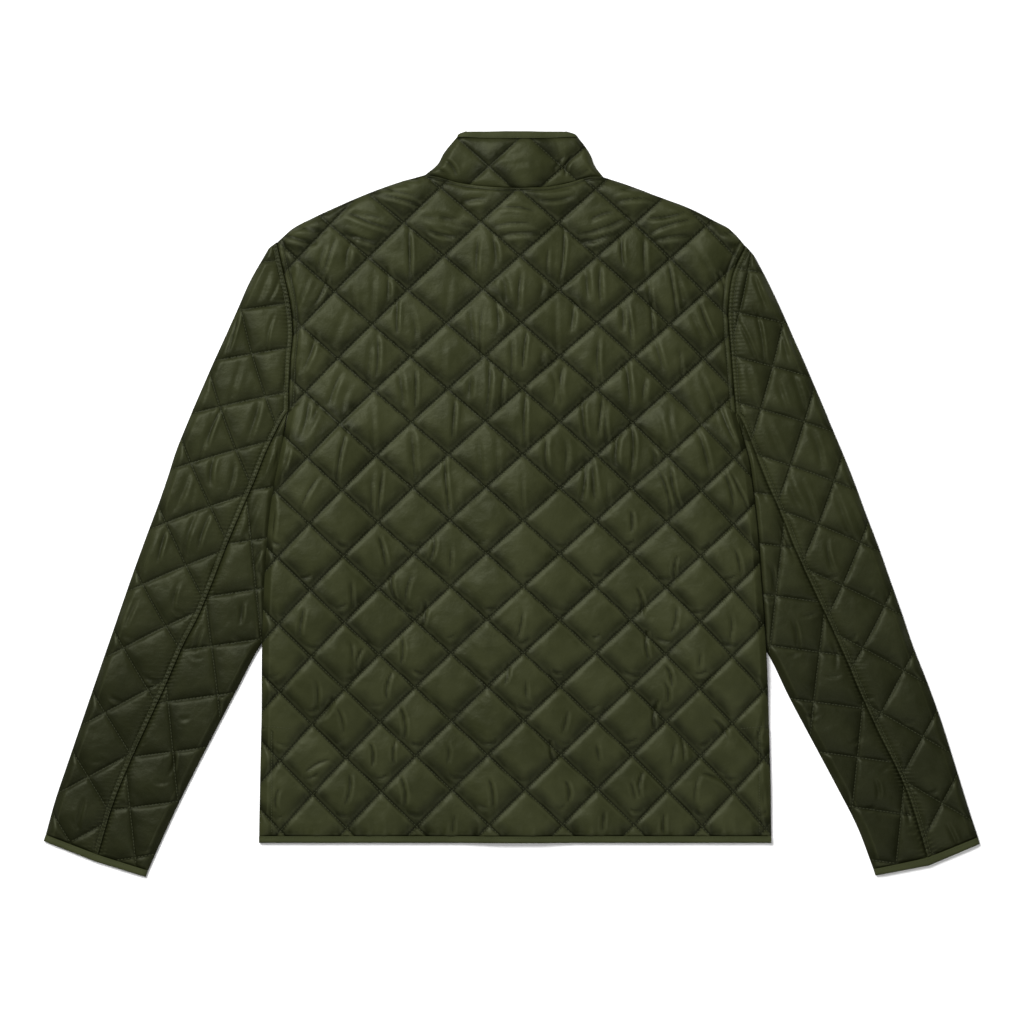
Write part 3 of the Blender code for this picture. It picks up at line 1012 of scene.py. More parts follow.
@dataclass
class FrontPanel:
    """One front, which lies on the surface under the back."""

    cut: Cut
    side: Side
    step: float = 5.0
    groove: float = 0.9
    groove_width: float = 2.6
    edge_round: float = 7.0
    edge_rise: float = 2.4
    stud_rise: float = 1.9

    def build(self, finish: bpy.types.Material) -> bpy.types.Object:
        """Make the front as a closed wall, with grooves at its quilting and recesses for studs.

        Args:
            finish: the cloth's finish.

        Returns:
            The panel.
        """
        low, high = (-1.0, OVERLAP_SHARE) if self.side is Side.LEFT else (-OVERLAP_SHARE, 1.0)
        shares = body_shares(low, high, self.step)
        rows = np.array([row[:2] for row in BODY_ROWS], float)
        at = even_rows(rows, self.step, 0.0, len(rows) - 1.0)
        grid = BodyGrid(shares, at, front=True)
        over = strip_lift(shares, front=True) if self.side is Side.RIGHT else np.zeros_like(shares)
        base = grid.lift + over[None, :]
        a, b = BACK_QUILTING.lines(grid.x, grid.y)
        pitch = BACK_QUILTING.pitch()
        near = np.minimum(np.abs(a - np.round(a)), np.abs(b - np.round(b))) * pitch
        rise = self.groove * bell(near, self.groove_width)
        edge = np.where((grid.at < UNDERARM_ROW)[:, None], FAR, grid.side)
        shoulder = np.where(np.abs(shares) >= NECK_SHARE, grid.above, FAR)
        for distance in (edge, shoulder):
            rise = np.maximum(rise, roll(distance, self.edge_round, self.edge_rise))
        if self.side is Side.LEFT:
            for number in range(STUD_COUNT):
                reach = np.hypot(grid.x, grid.y - STUD_LOWEST - number * STUD_SPACING)
                rise = np.where(reach < STUD_RADIUS + STUD_CLEAR, np.maximum(rise, self.stud_rise), rise)
        row_picks, column_picks = picks(len(at), 6), picks(len(shares), 6)
        face = np.stack([grid.x, grid.y, base + rise], axis=-1)
        inner = np.stack([grid.x, grid.y, base + CLOTH], axis=-1)[np.ix_(row_picks, column_picks)]
        wall = Wall(face, inner, row_picks, column_picks)
        name = self.side.label + "_front"
        piece = wall_object(name + "_panel", self.cut, wall, (a, b))
        finish_piece(piece, finish, [name])
        return piece


@dataclass
class HemBinding:
    """The folded strip that binds a panel's hem."""

    cut: Cut
    name: str
    low: float
    high: float
    front: bool
    over_strip: bool
    across: tuple[float, ...] = (7.15, 6.9, 6.3, 5.6, 4.9, 3.6, 2.2, 1.1, 0.4, 0.0)
    stitch_row: float = 5.4
    step: float = 2.4

    def build(self, finish: bpy.types.Material) -> bpy.types.Object:
        """Make the strip as a closed wall with a crowned face and a rounded edge.

        Args:
            finish: the strip's finish.

        Returns:
            The strip.
        """
        shares = body_shares(self.low, self.high, self.step)
        grid = BodyGrid(shares, np.array([len(BODY_ROWS) - 1.0]), front=self.front)
        x = np.repeat(grid.x, len(self.across), axis=0)
        y = np.repeat(np.array(self.across)[:, None], len(shares), axis=1)
        base = strip_lift(shares, self.front)[None, :] if self.over_strip else np.zeros((1, len(shares)))
        crown = 0.55 - roll(y, 2.2, 1.7) - 0.3 * bell(y - self.stitch_row, 0.8)
        crown = crown - 0.12 * np.exp(-((self.across[0] - y) / 0.35))
        pucker = 0.16 * soft_noise(x, y * 0.5, 2.9, 41) + 0.22 * soft_noise(x, y, 13.0, 43)
        ripple = crown + pucker
        column_picks = picks(len(shares), 6)
        row_picks = [0, len(self.across) - 1]
        if self.front:
            outer = base + np.maximum(0.0, -ripple + 0.45)
            inner = np.broadcast_to(base + CLOTH - 0.1, y.shape)
        else:
            outer = LAYER + CLOTH + base + ripple
            inner = np.broadcast_to(base + LAYER + 0.1, y.shape)
        face = np.stack([x, y, outer], axis=-1)
        back = np.stack([x, y, inner], axis=-1)[np.ix_(row_picks, column_picks)]
        piece = wall_object(self.name + "_ribbon", self.cut, Wall(face, back, row_picks, column_picks), None)
        finish_piece(piece, finish, [self.name])
        return piece


# ------------------------------------------------------------------ sleeves
NEAR_FOLD = (0.0, 0.25, 0.7, 1.3, 2.1, 3.1, 4.3, 5.7, 7.3, 9.0)
NARROW = 26.0


def along_run(
    fold: np.ndarray, end: np.ndarray, shares: np.ndarray, seam_steps: Sequence[float] = ()
) -> tuple[np.ndarray, np.ndarray]:
    """Points across one layer of a folded piece, from its fold to its seam.

    Args:
        fold: the fold's point on each row.
        end: the seam's point on each row.
        shares: where the columns lie past the fold's own ones, from 0 to 1.
        seam_steps: distances of extra columns from the seam, where it shows.

    Returns:
        The points, and their distances from the fold.
    """
    width = np.hypot(*(end - fold).T)
    fit = np.minimum(1.0, width / NARROW)
    near = fit[:, None] * np.array(NEAR_FOLD)[None, :]
    start = near[:, -1:]
    last = fit[:, None] * np.array([seam_steps[::-1]]) if seam_steps else np.zeros((len(fit), 0))
    reach = width[:, None] - SEAM
    stop = reach - last[:, :1] if seam_steps else reach
    far = start + (stop - start) * shares[None, :]
    distance = np.hstack([near, far, reach - last[:, 1:]])
    way = (end - fold) / width[:, None]
    return fold[:, None, :] + way[:, None, :] * distance[:, :, None], distance


@dataclass
class Sleeve:
    """One two-piece sleeve, a flat tube, with its cuff binding."""

    cut: Cut
    side: Side
    arm: tuple[ArmRow, ...]
    cuff_edge: ArmRow
    top_quilting: Quilting
    under_quilting: Quilting
    puff: Puff
    creases: tuple[Crease, ...] = ()
    step: float = 1.35
    strip: float = 4.6
    last_row_length: float = 38.0
    band_width: float = 7.2
    stitch_share: float = 0.26

    @property
    def last_row(self) -> float:
        """Number of the row where the cloth ends and the cuff binding begins."""
        return len(CAP_ROWS) + len(self.arm) - 1.0

    def chains(self, at: np.ndarray) -> tuple[np.ndarray, np.ndarray, np.ndarray]:
        """Follow the sleeve's lengthwise lines.

        Args:
            at: real row numbers.

        Returns:
            Points of the outer fold, of the upper seam and of the inner fold.
        """
        pick = slice(0, 2) if self.side is Side.LEFT else slice(2, 4)
        cap = [row[pick] for row in CAP_ROWS]
        underarm = BODY_ROWS[UNDERARM_ROW][pick]
        outer = smooth_run(np.array(cap + [row[:2] for row in self.arm], float), at)
        past = np.maximum(at - UNDERARM_ROW, 0.0)
        hind = smooth_run(np.array([underarm] + [row[2:4] for row in self.arm], float), past)
        seam = np.where((at < UNDERARM_ROW)[:, None], body_edge(self.side, at), hind)
        inner = smooth_run(np.array([underarm] + [row[4:] for row in self.arm], float), past)
        return outer, seam, inner

    def front_seam(self, at: np.ndarray) -> np.ndarray:
        """Follow the hidden seam of the lower layer, which is the armhole above the underarm.

        Args:
            at: real row numbers.

        Returns:
            One point for each row number.
        """
        _outer, seam, inner = self.chains(at)
        width = np.hypot(*(seam - inner).T)[:, None]
        reach = np.minimum(FRONT_SEAM, FRONT_SEAM_MOST * width)
        hidden = inner + (seam - inner) * reach / np.maximum(width, LEAST)
        return np.where((at <= UNDERARM_ROW)[:, None], seam, hidden)

    def covered(self, x: np.ndarray, y: np.ndarray) -> np.ndarray:
        """Find what lies under the body.

        Args:
            x: places in X.
            y: places in Y.

        Returns:
            1 under the body and 0 clear of it.
        """
        at = np.linspace(UNDERARM_ROW, len(BODY_ROWS) - 1.0, 60)
        edge = body_edge(self.side, at)
        body = np.interp(-y, -edge[:, 1], np.abs(edge[:, 0]))
        return ease((body - np.abs(x) + 5.0) / 6.0) * (y < edge[0, 1])

    def relief(
        self,
        quilting: Quilting,
        points: np.ndarray,
        from_fold: np.ndarray,
        from_seam: np.ndarray,
        from_end: np.ndarray,
        strip: float,
    ) -> np.ndarray:
        """Shape the upper layer's face over its plain wall.

        Args:
            quilting: the piece's lattice.
            points: the face's points in plan.
            from_fold: their distances from the fold.
            from_seam: their distances from the seam.
            from_end: their distances from the cuff binding.
            strip: width of the topstitched strip beside the seam, or 0.

        Returns:
            Height over the wall at each point.
        """
        x, y = points[..., 0], points[..., 1]
        free = np.maximum(from_seam - strip, 0.0)
        quilted = self.puff.relief(quilting, x, y) * (1.0 - np.exp(-free / PUFF_RISE))
        wrinkles = crease_relief(x, y, self.creases) * ease(from_seam / 8.0)
        pinch = welt(from_seam, 5.2, 0.6) if strip > 0.0 else -0.9 * bell(from_seam, 1.6)
        waves = np.sin(y * 1.5 + 1.3 * soft_noise(x * 0.1, y, 9.0, 65))
        patchy = 0.55 + 0.45 * soft_noise(x * 0.1, y, 38.0, 66)
        pinch = pinch + 0.7 * np.exp(-from_seam / (9.0 if strip > 0.0 else 3.5)) * waves * patchy
        pinch = pinch - 0.9 * bell(from_end, 1.8)
        quilted = quilted * (1.0 - np.exp(-from_end / 4.0))
        fine = 0.16 * soft_noise(x, y, 7.0, 59) + 0.5 * soft_noise(x, y, 17.0, 61)
        open_share = 1.0 - self.covered(x, y)
        return ((quilted + wrinkles + fine) * ease(from_fold / 10.0) + pinch) * open_share

    def piece(
        self,
        name: str,
        quilting: Quilting,
        at: np.ndarray,
        fold: np.ndarray,
        seam: np.ndarray,
        finish: bpy.types.Material,
    ) -> bpy.types.Object:
        """Make one sleeve piece, folded over its outer or inner side.

        Args:
            name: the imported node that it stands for.
            quilting: its lattice.
            at: real row numbers.
            fold: its fold's point on each row.
            seam: its upper seam's point on each row.
            finish: its finish.

        Returns:
            The piece.
        """
        upper_shares = np.linspace(0.0, 1.0, 50)[1:]
        lower_shares = np.array([0.2, 0.5, 0.75, 1.0])
        upper, u_far = along_run(fold, seam, upper_shares, SMALL_STEPS)
        lower, l_far = along_run(fold, self.front_seam(at), lower_shares)
        fit = np.minimum(1.0, np.hypot(*(seam - fold).T) / NARROW)[:, None]
        from_seam = u_far[:, -1:] - u_far
        top = LAYER + CLOTH - (LAYER + CLOTH - MID) * roll(u_far / (TOP_ROUND * fit), 1.0, 1.0)
        strip = self.strip if quilting is self.top_quilting else 0.0
        from_end = ((at[-1] - at) * self.last_row_length)[:, None]
        shown = self.relief(quilting, upper, u_far, from_seam, from_end, strip)
        top = top + shown * ease(u_far / (3.0 * fit))
        under = MID * roll(l_far / (LOW_ROUND * fit), 1.0, 1.0)
        face_upper = np.dstack([upper, top])
        face_lower = np.dstack([lower, under])
        face = np.concatenate([face_lower[:, :0:-1], face_upper], axis=1)
        keep_lower = [l_far.shape[1] - 1, l_far.shape[1] - 3, len(NEAR_FOLD) - 1, 7]
        keep_upper = [7, *range(len(NEAR_FOLD) - 1, u_far.shape[1] - 4, 8), u_far.shape[1] - 1]
        inset = fold + (upper[:, 5] - fold) * (FOLD_INSET * fit / np.maximum(u_far[:, 5:6], LEAST))
        flat = np.ones((len(at), 1))
        inner = [np.dstack([lower[:, i : i + 1], CLOTH * flat]) for i in keep_lower]
        inner.append(np.dstack([inset[:, None, :], MID * flat]))
        inner += [np.dstack([upper[:, i : i + 1], LAYER * flat]) for i in keep_upper]
        offset = l_far.shape[1] - 1
        columns = [offset - i for i in keep_lower] + [offset] + [offset + i for i in keep_upper]
        row_picks = picks(len(at), 8)
        back = np.concatenate(inner, axis=1)[row_picks]
        quilt = quilting.lines(face[..., 0], face[..., 1])
        piece = wall_object(name + "_cloth", self.cut, Wall(face, back, row_picks, columns), quilt)
        finish_piece(piece, finish, [name])
        return piece

    def band(self, shares: np.ndarray) -> list[np.ndarray]:
        """Follow the cuff binding's outer fold, seam and inner fold.

        Args:
            shares: shares of the binding's width.

        Returns:
            Points of each, one for each share.
        """
        start = [point[0] for point in self.chains(np.array([self.last_row]))]
        edge = [np.array(self.cuff_edge[i : i + 2]) for i in (0, 2, 4)]
        return [a + (b - a) * shares[:, None] for a, b in zip(start, edge)]

    def cuff(self, finish: bpy.types.Material) -> bpy.types.Object:
        """Make the folded strip that binds the sleeve's end, a flat ring.

        Args:
            finish: the strip's finish.

        Returns:
            The strip.
        """
        shares = np.array([0.03, 0.07, 0.16, 0.26, 0.36, 0.5, 0.7, 0.86, 0.95, 1.0])
        far = self.band_width * (1.0 - shares)[:, None]
        outer, seam, inner = self.band(shares)
        runs = []
        crown = 0.55 - roll(far, 2.2, 1.7) - 0.3 * bell(far - 5.4, 0.8)
        crown = crown - 0.35 * np.exp(-((7.0 - far) / 0.35))
        steps = np.linspace(0.0, 1.0, 18)[1:]
        for fold, end in ((inner, seam), (outer, seam)):
            points, u = along_run(fold, end, steps)
            ripple = crown + 0.16 * soft_noise(points[..., 0], points[..., 1], 2.9, 47)
            top = LAYER + CLOTH - (LAYER + CLOTH - MID) * roll(u, TOP_ROUND, 1.0) + ripple * ease(u / 3.0)
            low = MID * roll(u, LOW_ROUND, 1.0) + 0.05
            runs.append((np.dstack([points, top]), np.dstack([points, low])))
        (inner_top, inner_low), (outer_top, outer_low) = runs
        sparse = [0, 3, 5, 7, 9, 14, 20, 26]
        parts = [inner_top, outer_top[:, -2::-1], outer_low[:, sparse[1:]], inner_low[:, sparse[:0:-1]]]
        face = np.concatenate(parts, axis=1)
        centre = face.mean(axis=1, keepdims=True)
        columns = picks(face.shape[1], 3)[:-1]
        back = face[:, columns].copy()
        inset = centre - back
        reach = np.hypot(inset[..., 0], inset[..., 1])[..., None]
        back[..., :2] += inset[..., :2] / reach * np.minimum(FOLD_INSET, 0.5 * reach)
        back[..., 2] = np.where(back[..., 2] > MID, LAYER, CLOTH)
        row_picks = [0, len(shares) - 1]
        wall = Wall(face, back[row_picks], row_picks, columns, closed=True)
        name = self.side.label + "_cuff_binding"
        piece = wall_object(name + "_ribbon", self.cut, wall, None)
        finish_piece(piece, finish, [name])
        return piece

    def cuff_row(self) -> np.ndarray:
        """Where the cuff binding is topstitched, from its outer fold to its inner one."""
        return np.concatenate(self.band(np.array([self.stitch_share])))

    def build(self, shell: bpy.types.Material, trim: bpy.types.Material) -> list[bpy.types.Object]:
        """Make the sleeve's three pieces.

        Args:
            shell: the cloth's finish.
            trim: the binding's finish.

        Returns:
            The top sleeve, the under sleeve and the cuff binding.
        """
        rows = np.array([row[:2] for row in CAP_ROWS] + [row[:2] for row in self.arm], float)
        if self.side is Side.RIGHT:
            rows[: len(CAP_ROWS)] = np.array([row[2:4] for row in CAP_ROWS])
        whole = even_rows(rows, self.step, 0.0, self.last_row)
        lower = even_rows(rows, self.step, UNDER_SLEEVE_ROW, self.last_row)
        outer, seam, _inner = self.chains(whole)
        _outer, low_seam, low_inner = self.chains(lower)
        label = self.side.label
        return [
            self.piece(label + "_top_sleeve", self.top_quilting, whole, outer, seam, shell),
            self.piece(label + "_under_sleeve", self.under_quilting, lower, low_inner, low_seam, shell),
            self.cuff(trim),
        ]


# ------------------------------------------------------------------ collar
@dataclass
class Collar:
    """The stand collar, folded flat with its opening below, and the binding on its upper edge."""

    cut: Cut
    quilting: Quilting
    puff: Puff
    creases: tuple[Crease, ...] = ()
    step: float = 1.6

    def half_width(self, height: np.ndarray, side: Side) -> np.ndarray:
        """Half width of the collar at shares of its height, as a column."""
        knots = [row.share for row in COLLAR_ROWS]
        return table_curve(height, knots, [getattr(row, side.label) for row in COLLAR_ROWS])[:, None]

    def run(self, height: np.ndarray, side: Side, shares: np.ndarray, front: bool) -> np.ndarray:
        """Find points of the collar in plan.

        Args:
            height: shares of the collar's height.
            side: which half of the collar.
            shares: shares of the body's half width, one row for each height.
            front: whether it is the lower layer.

        Returns:
            A grid of points.
        """
        width = self.half_width(height, side)
        signed = shares * side.value
        flat = signed.ravel()
        neck = top_edge(flat, front).reshape(shares.shape)
        top = np.full_like(shares, COLLAR_TOP)
        if front:
            at_end = np.clip((NECK_SHARE - shares) / (NECK_SHARE - OVERLAP_BACK_END), 0.0, 1.0)
            top = COLLAR_TOP * (1 - at_end) + (neck + COLLAR_FRONT_HEIGHT) * at_end
        y = neck * (1 - height[:, None]) + top * height[:, None]
        return np.dstack([width * signed / NECK_SHARE, y])

    def half(self, height: np.ndarray, side: Side) -> dict[str, np.ndarray]:
        """Make the runs of one half, from the opening to the middle of the back.

        Args:
            height: shares of the collar's height.
            side: which half of the collar.

        Returns:
            Outer and inner points of both layers, distances from the fold, and the fold's inner points.
        """
        width = self.half_width(height, side)
        near = np.array(NEAR_FOLD)[None, :]
        folded = NECK_SHARE * (1.0 - near / width)
        start = folded[:, -1:]
        lower = np.array([0.0, 0.18, 0.42, 0.72])[None, :]
        lower = COLLAR_OPENING + (start - COLLAR_OPENING) * lower
        upper = start * np.linspace(1.0, 0.0, 46)[None, 1:]
        low_shares = np.hstack([lower, folded[:, ::-1]])
        top_shares = np.hstack([folded[:, 1:], upper])
        low = self.run(height, side, low_shares, front=True)
        top = self.run(height, side, top_shares, front=False)
        low_d = width * (1.0 - low_shares / NECK_SHARE)
        top_d = width * (1.0 - top_shares / NECK_SHARE)
        low_lift = strip_lift(low_shares, True) if side is Side.RIGHT else np.zeros_like(low_shares)
        low_z = low_lift + MID * roll(low_d, LOW_ROUND, 1.0)
        top_base = LAYER + strip_lift(top_shares, False)
        drop = (LAYER + CLOTH - MID) * roll(top_d, TOP_ROUND, 1.0)
        return {
            "low": np.dstack([low, low_z]),
            "low_in": np.dstack([low, low_lift + CLOTH]),
            "top": np.dstack([top, top_base + CLOTH - drop]),
            "top_in": np.dstack([top, top_base]),
            "top_d": top_d,
            "inset": self.run(height, side, NECK_SHARE * (1.0 - FOLD_INSET / width), front=False),
        }

    def section(self, height: np.ndarray, relief: Callable[..., np.ndarray]) -> Wall:
        """Make the wall right round, from the left end to the right end.

        Args:
            height: shares of the collar's height.
            relief: gives the upper layer's height over the plain wall.

        Returns:
            The wall.
        """
        faces, backs, columns = [], [], []
        start = 0
        halves = [self.half(height, side) for side in Side]
        for number, part in enumerate(halves):
            top = part["top"].copy()
            extra = relief(top, part["top_d"], height)
            top[..., 2] += extra * ease(part["top_d"] / 3.0)
            face = np.concatenate([part["low"], top], axis=1)
            low_count = part["low"].shape[1]
            keep_low = [0, 2, 4, low_count - 3]
            keep_top = [2, 8, *range(16, top.shape[1] - 3, 8), top.shape[1] - 1]
            inset = np.dstack([part["inset"], np.full((len(height), 1), MID)])
            back = [part["low_in"][:, i : i + 1] for i in keep_low]
            back.append(inset)
            back += [part["top_in"][:, i : i + 1] for i in keep_top]
            picked = keep_low + [low_count - 1] + [low_count + i for i in keep_top]
            inner = np.concatenate(back, axis=1)
            if number == 1:
                face, inner = face[:, -2::-1], inner[:, -2::-1]
                wide = face.shape[1]
                picked = [wide - 1 - i for i in picked[:-1]][::-1]
            columns += [start + i for i in picked]
            start += face.shape[1]
            faces.append(face)
            backs.append(inner)
        row_picks = picks(len(height), 8)
        face = np.concatenate(faces, axis=1)
        back = np.concatenate(backs, axis=1)[row_picks]
        return Wall(face, back, row_picks, columns)

    def panel_relief(
        self, points: np.ndarray, from_fold: np.ndarray, height: np.ndarray
    ) -> np.ndarray:
        """Shape the quilting, seams and creases of the collar's cloth.

        Args:
            points: the face's points.
            from_fold: their distances from the fold.
            height: shares of the collar's height, one for each row.

        Returns:
            Height over the wall at each point.
        """
        x, y = points[..., 0], points[..., 1]
        low = height[:, None] * COLLAR_HEIGHT
        high = (COLLAR_PANEL_SHARE - height[:, None]) * COLLAR_HEIGHT
        sewn = np.minimum(low, high + 0.8)
        quilted = self.puff.relief(self.quilting, x, y) * (1.0 - np.exp(-sewn / 5.0))
        wrinkles = crease_relief(x, y, self.creases) * ease(sewn / 7.0)
        pinch = -1.2 * bell(sewn, 2.4)
        fine = 0.16 * soft_noise(x, y, 6.0, 71)
        return (quilted + wrinkles + fine) * ease(from_fold / 9.0) + pinch

    def edge_relief(
        self, points: np.ndarray, _from_fold: np.ndarray, height: np.ndarray
    ) -> np.ndarray:
        """Shape the crown and puckers of the binding, which are the same at any distance from the fold.

        Args:
            points: the face's points.
            _from_fold: their distances from the fold; not used.
            height: shares of the collar's height, one for each row.

        Returns:
            Height over the wall at each point.
        """
        free = (1.0 - height[:, None]) * COLLAR_HEIGHT
        ripple = 0.16 * soft_noise(points[..., 0], points[..., 1] * 0.5, 2.9, 73)
        return 0.6 - roll(free, 2.6, 1.9) + ripple

    def build(self, shell: bpy.types.Material, trim: bpy.types.Material) -> list[bpy.types.Object]:
        """Make the collar and its binding.

        Args:
            shell: the cloth's finish.
            trim: the binding's finish.

        Returns:
            The collar and the binding.
        """
        rows = int(round(COLLAR_PANEL_SHARE * COLLAR_FRONT_HEIGHT / self.step))
        wall = self.section(np.linspace(0.0, COLLAR_PANEL_SHARE, rows), self.panel_relief)
        quilt = self.quilting.lines(wall.face[..., 0], wall.face[..., 1])
        panel = wall_object("collar_cloth", self.cut, wall, quilt)
        finish_piece(panel, shell, ["collar"])
        heights = COLLAR_PANEL_SHARE + (1.0 - COLLAR_PANEL_SHARE) * np.array(
            [0.04, 0.09, 0.2, 0.34, 0.48, 0.62, 0.76, 0.88, 0.96, 1.0]
        )
        wall = self.section(heights, self.edge_relief)
        ribbon = wall_object("collar_binding_ribbon", self.cut, wall, None)
        finish_piece(ribbon, trim, ["collar_binding"])
        return [panel, ribbon]


# ------------------------------------------------------------------ stitching
@dataclass(frozen=True)
class Thread:
    """Size of the stitches in a row, in millimetres."""

    pitch: float = 3.6
    length: float = 2.6
    radius: float = 0.3
    sunk: float = 0.05


def offset_run(run: np.ndarray, distance: float) -> np.ndarray:
    """Move a run of points sideways.

    Args:
        run: the points.
        distance: how far, to the left of the run where it is above 0.

    Returns:
        The moved points.
    """
    way = np.gradient(run, axis=0)
    way /= np.maximum(np.hypot(*way.T), LEAST)[:, None]
    return run + distance * np.stack([-way[:, 1], way[:, 0]], axis=1)


def inside(outline: np.ndarray, x: np.ndarray, y: np.ndarray) -> np.ndarray:
    """Tell which points lie within a closed outline.

    Args:
        outline: the outline's points.
        x: places in X.
        y: places in Y.

    Returns:
        True where a point is inside.
    """
    result = np.zeros(x.shape, bool)
    for (x0, y0), (x1, y1) in zip(outline, np.roll(outline, -1, axis=0)):
        crosses = (y0 > y) != (y1 > y)
        if y1 != y0:
            result ^= crosses & (x < (x1 - x0) * (y - y0) / (y1 - y0) + x0)
    return result


@dataclass
class Stitching:
    """Rows of stitches on finished pieces, joined into one piece."""

    name: str
    cut: Cut
    sides: int = 5
    start_height: float = 40.0
    ends: list[np.ndarray] = field(default_factory=list)
    radii: list[float] = field(default_factory=list)

    def sew(self, piece: bpy.types.Object, runs: Sequence[np.ndarray], thread: Thread) -> None:
        """Lay a row of stitches along each run, on the piece's upper face.

        Args:
            piece: the sewn piece.
            runs: where the rows lie in plan.
            thread: the stitches' size.
        """
        tree = BVHTree.FromObject(piece, bpy.context.evaluated_depsgraph_get())
        down = Vector((0.0, 0.0, -1.0))
        for run in runs:
            length = lengths_along(run)
            for number in range(int(length[-1] / thread.pitch)):
                first = (number + 0.5) * thread.pitch - 0.5 * thread.length
                ends = []
                for at in (first, first + thread.length):
                    x, y = (float(np.interp(at, length, run[:, i])) for i in (0, 1))
                    place = Vector(self.cut.spot(x, y, self.start_height))
                    hit = tree.ray_cast(place, down)[0]
                    if hit is not None:
                        ends.append(hit)
                if len(ends) == 2 and (ends[0] - ends[1]).length < 1.6 * thread.length * MM:
                    lift = Vector((0.0, 0.0, (thread.radius - thread.sunk) * MM))
                    self.ends.append(np.array([ends[0] + lift, ends[1] + lift]))
                    self.radii.append(thread.radius * MM)

    def build(self, finish: bpy.types.Material, slot: Slot) -> bpy.types.Object:
        """Make all the stitches, each a short closed capsule.

        Args:
            finish: the thread's finish.
            slot: the material slot of the cloth that it is in; not used.

        Returns:
            The stitches, joined.
        """
        ends = np.array(self.ends)
        radii = np.array(self.radii)[:, None, None]
        start, end = ends[:, 0], ends[:, 1]
        way = end - start
        way /= np.linalg.norm(way, axis=1)[:, None]
        side = np.cross(way, np.array([0.0, 0.0, 1.0]))
        side /= np.linalg.norm(side, axis=1)[:, None]
        up = np.cross(side, way)
        turns = 2.0 * np.pi * np.arange(self.sides) / self.sides
        turned = [turn[None, :, None] for turn in (np.cos(turns), np.sin(turns))]
        spokes = side[:, None, :] * turned[0] + up[:, None, :] * turned[1]
        rings = [start + (end - start) * share for share in (0.22, 0.78)]
        points = [start[:, None, :]]
        points += [ring[:, None, :] + spokes * radii for ring in rings]
        points.append(end[:, None, :])
        whole = np.concatenate(points, axis=1)
        n, last = self.sides, 2 * self.sides + 1
        pattern = []
        for k in range(n):
            m = (k + 1) % n
            pattern.append([0, 1 + m, 1 + k])
            pattern.append([1 + k, 1 + m, 1 + n + m, 1 + n + k])
            pattern.append([1 + n + k, 1 + n + m, last])
        count = whole.shape[1]
        faces = [[count * i + v for v in face] for i in range(len(whole)) for face in pattern]
        piece = new_object(self.name, whole.reshape(-1, 3), faces, sharp=60.0)
        finish_piece(piece, finish, [])
        return piece


def quilt_runs(quilting: Quilting, outline: np.ndarray, step: float = 2.0) -> list[np.ndarray]:
    """Find the quilting lines that lie within an outline.

    Args:
        quilting: the lattice.
        outline: the outline's points.
        step: about how far apart the points of a line lie, in millimetres.

    Returns:
        One run of points for each stretch of a line.
    """
    a, b = quilting.lines(outline[:, 0], outline[:, 1])
    lows = [math.floor(v.min()) for v in (a, b)]
    highs = [math.ceil(v.max()) for v in (a, b)]
    runs = []
    pitch = quilting.pitch()
    for along in (0, 1):
        other = 1 - along
        ticks = np.arange(lows[other], highs[other], step / pitch)
        for number in range(lows[along], highs[along] + 1):
            pair = [np.full_like(ticks, float(number)), ticks]
            x, y = quilting.locate(*(pair if along == 0 else pair[::-1]))
            kept = inside(outline, x, y)
            edges = np.flatnonzero(np.diff(np.concatenate([[0], kept.astype(int), [0]])))
            for low, high in zip(edges[::2], edges[1::2]):
                if high - low > FEWEST_POINTS:
                    runs.append(np.stack([x[low:high], y[low:high]], axis=1))
    return runs


# ------------------------------------------------------------------ finishes
class Value:
    """A number in a material, for sums that read like ordinary ones."""

    def __init__(self, graph: "Graph", socket: bpy.types.NodeSocket) -> None:
        """Wrap an output socket."""
        self.graph = graph
        self.socket = socket

    def maths(self, operation: str, *others: "Value | float") -> "Value":
        """Combine this number with others by a Math node.

        Args:
            operation: the node's operation.
            *others: further numbers, or none.

        Returns:
            The result.
        """
        inputs = {0: self, **{i + 1: other for i, other in enumerate(others)}}
        return self.graph.node("ShaderNodeMath", {"operation": operation}, inputs, 0)

    def __add__(self, other: "Value | float") -> "Value":
        """Add."""
        return self.maths("ADD", other)

    def __radd__(self, other: float) -> "Value":
        """Add to a plain number."""
        return self.maths("ADD", other)

    def __mul__(self, other: "Value | float") -> "Value":
        """Multiply."""
        return self.maths("MULTIPLY", other)

    def __rmul__(self, other: float) -> "Value":
        """Multiply a plain number."""
        return self.maths("MULTIPLY", other)

    def __sub__(self, other: "Value | float") -> "Value":
        """Subtract."""
        return self.maths("SUBTRACT", other)

    def __rsub__(self, other: float) -> "Value":
        """Subtract from a plain number."""
        return self.maths("MULTIPLY", -1.0).maths("ADD", other)

    def soft(self, low: float, high: float) -> "Value":
        """Step softly from 0 to 1.

        Args:
            low: where the step begins.
            high: where it ends.

        Returns:
            The step.
        """
        settings = {"interpolation_type": "SMOOTHSTEP"}
        inputs = {"Value": self, "From Min": low, "From Max": high}
        return self.graph.node("ShaderNodeMapRange", settings, inputs, 0)


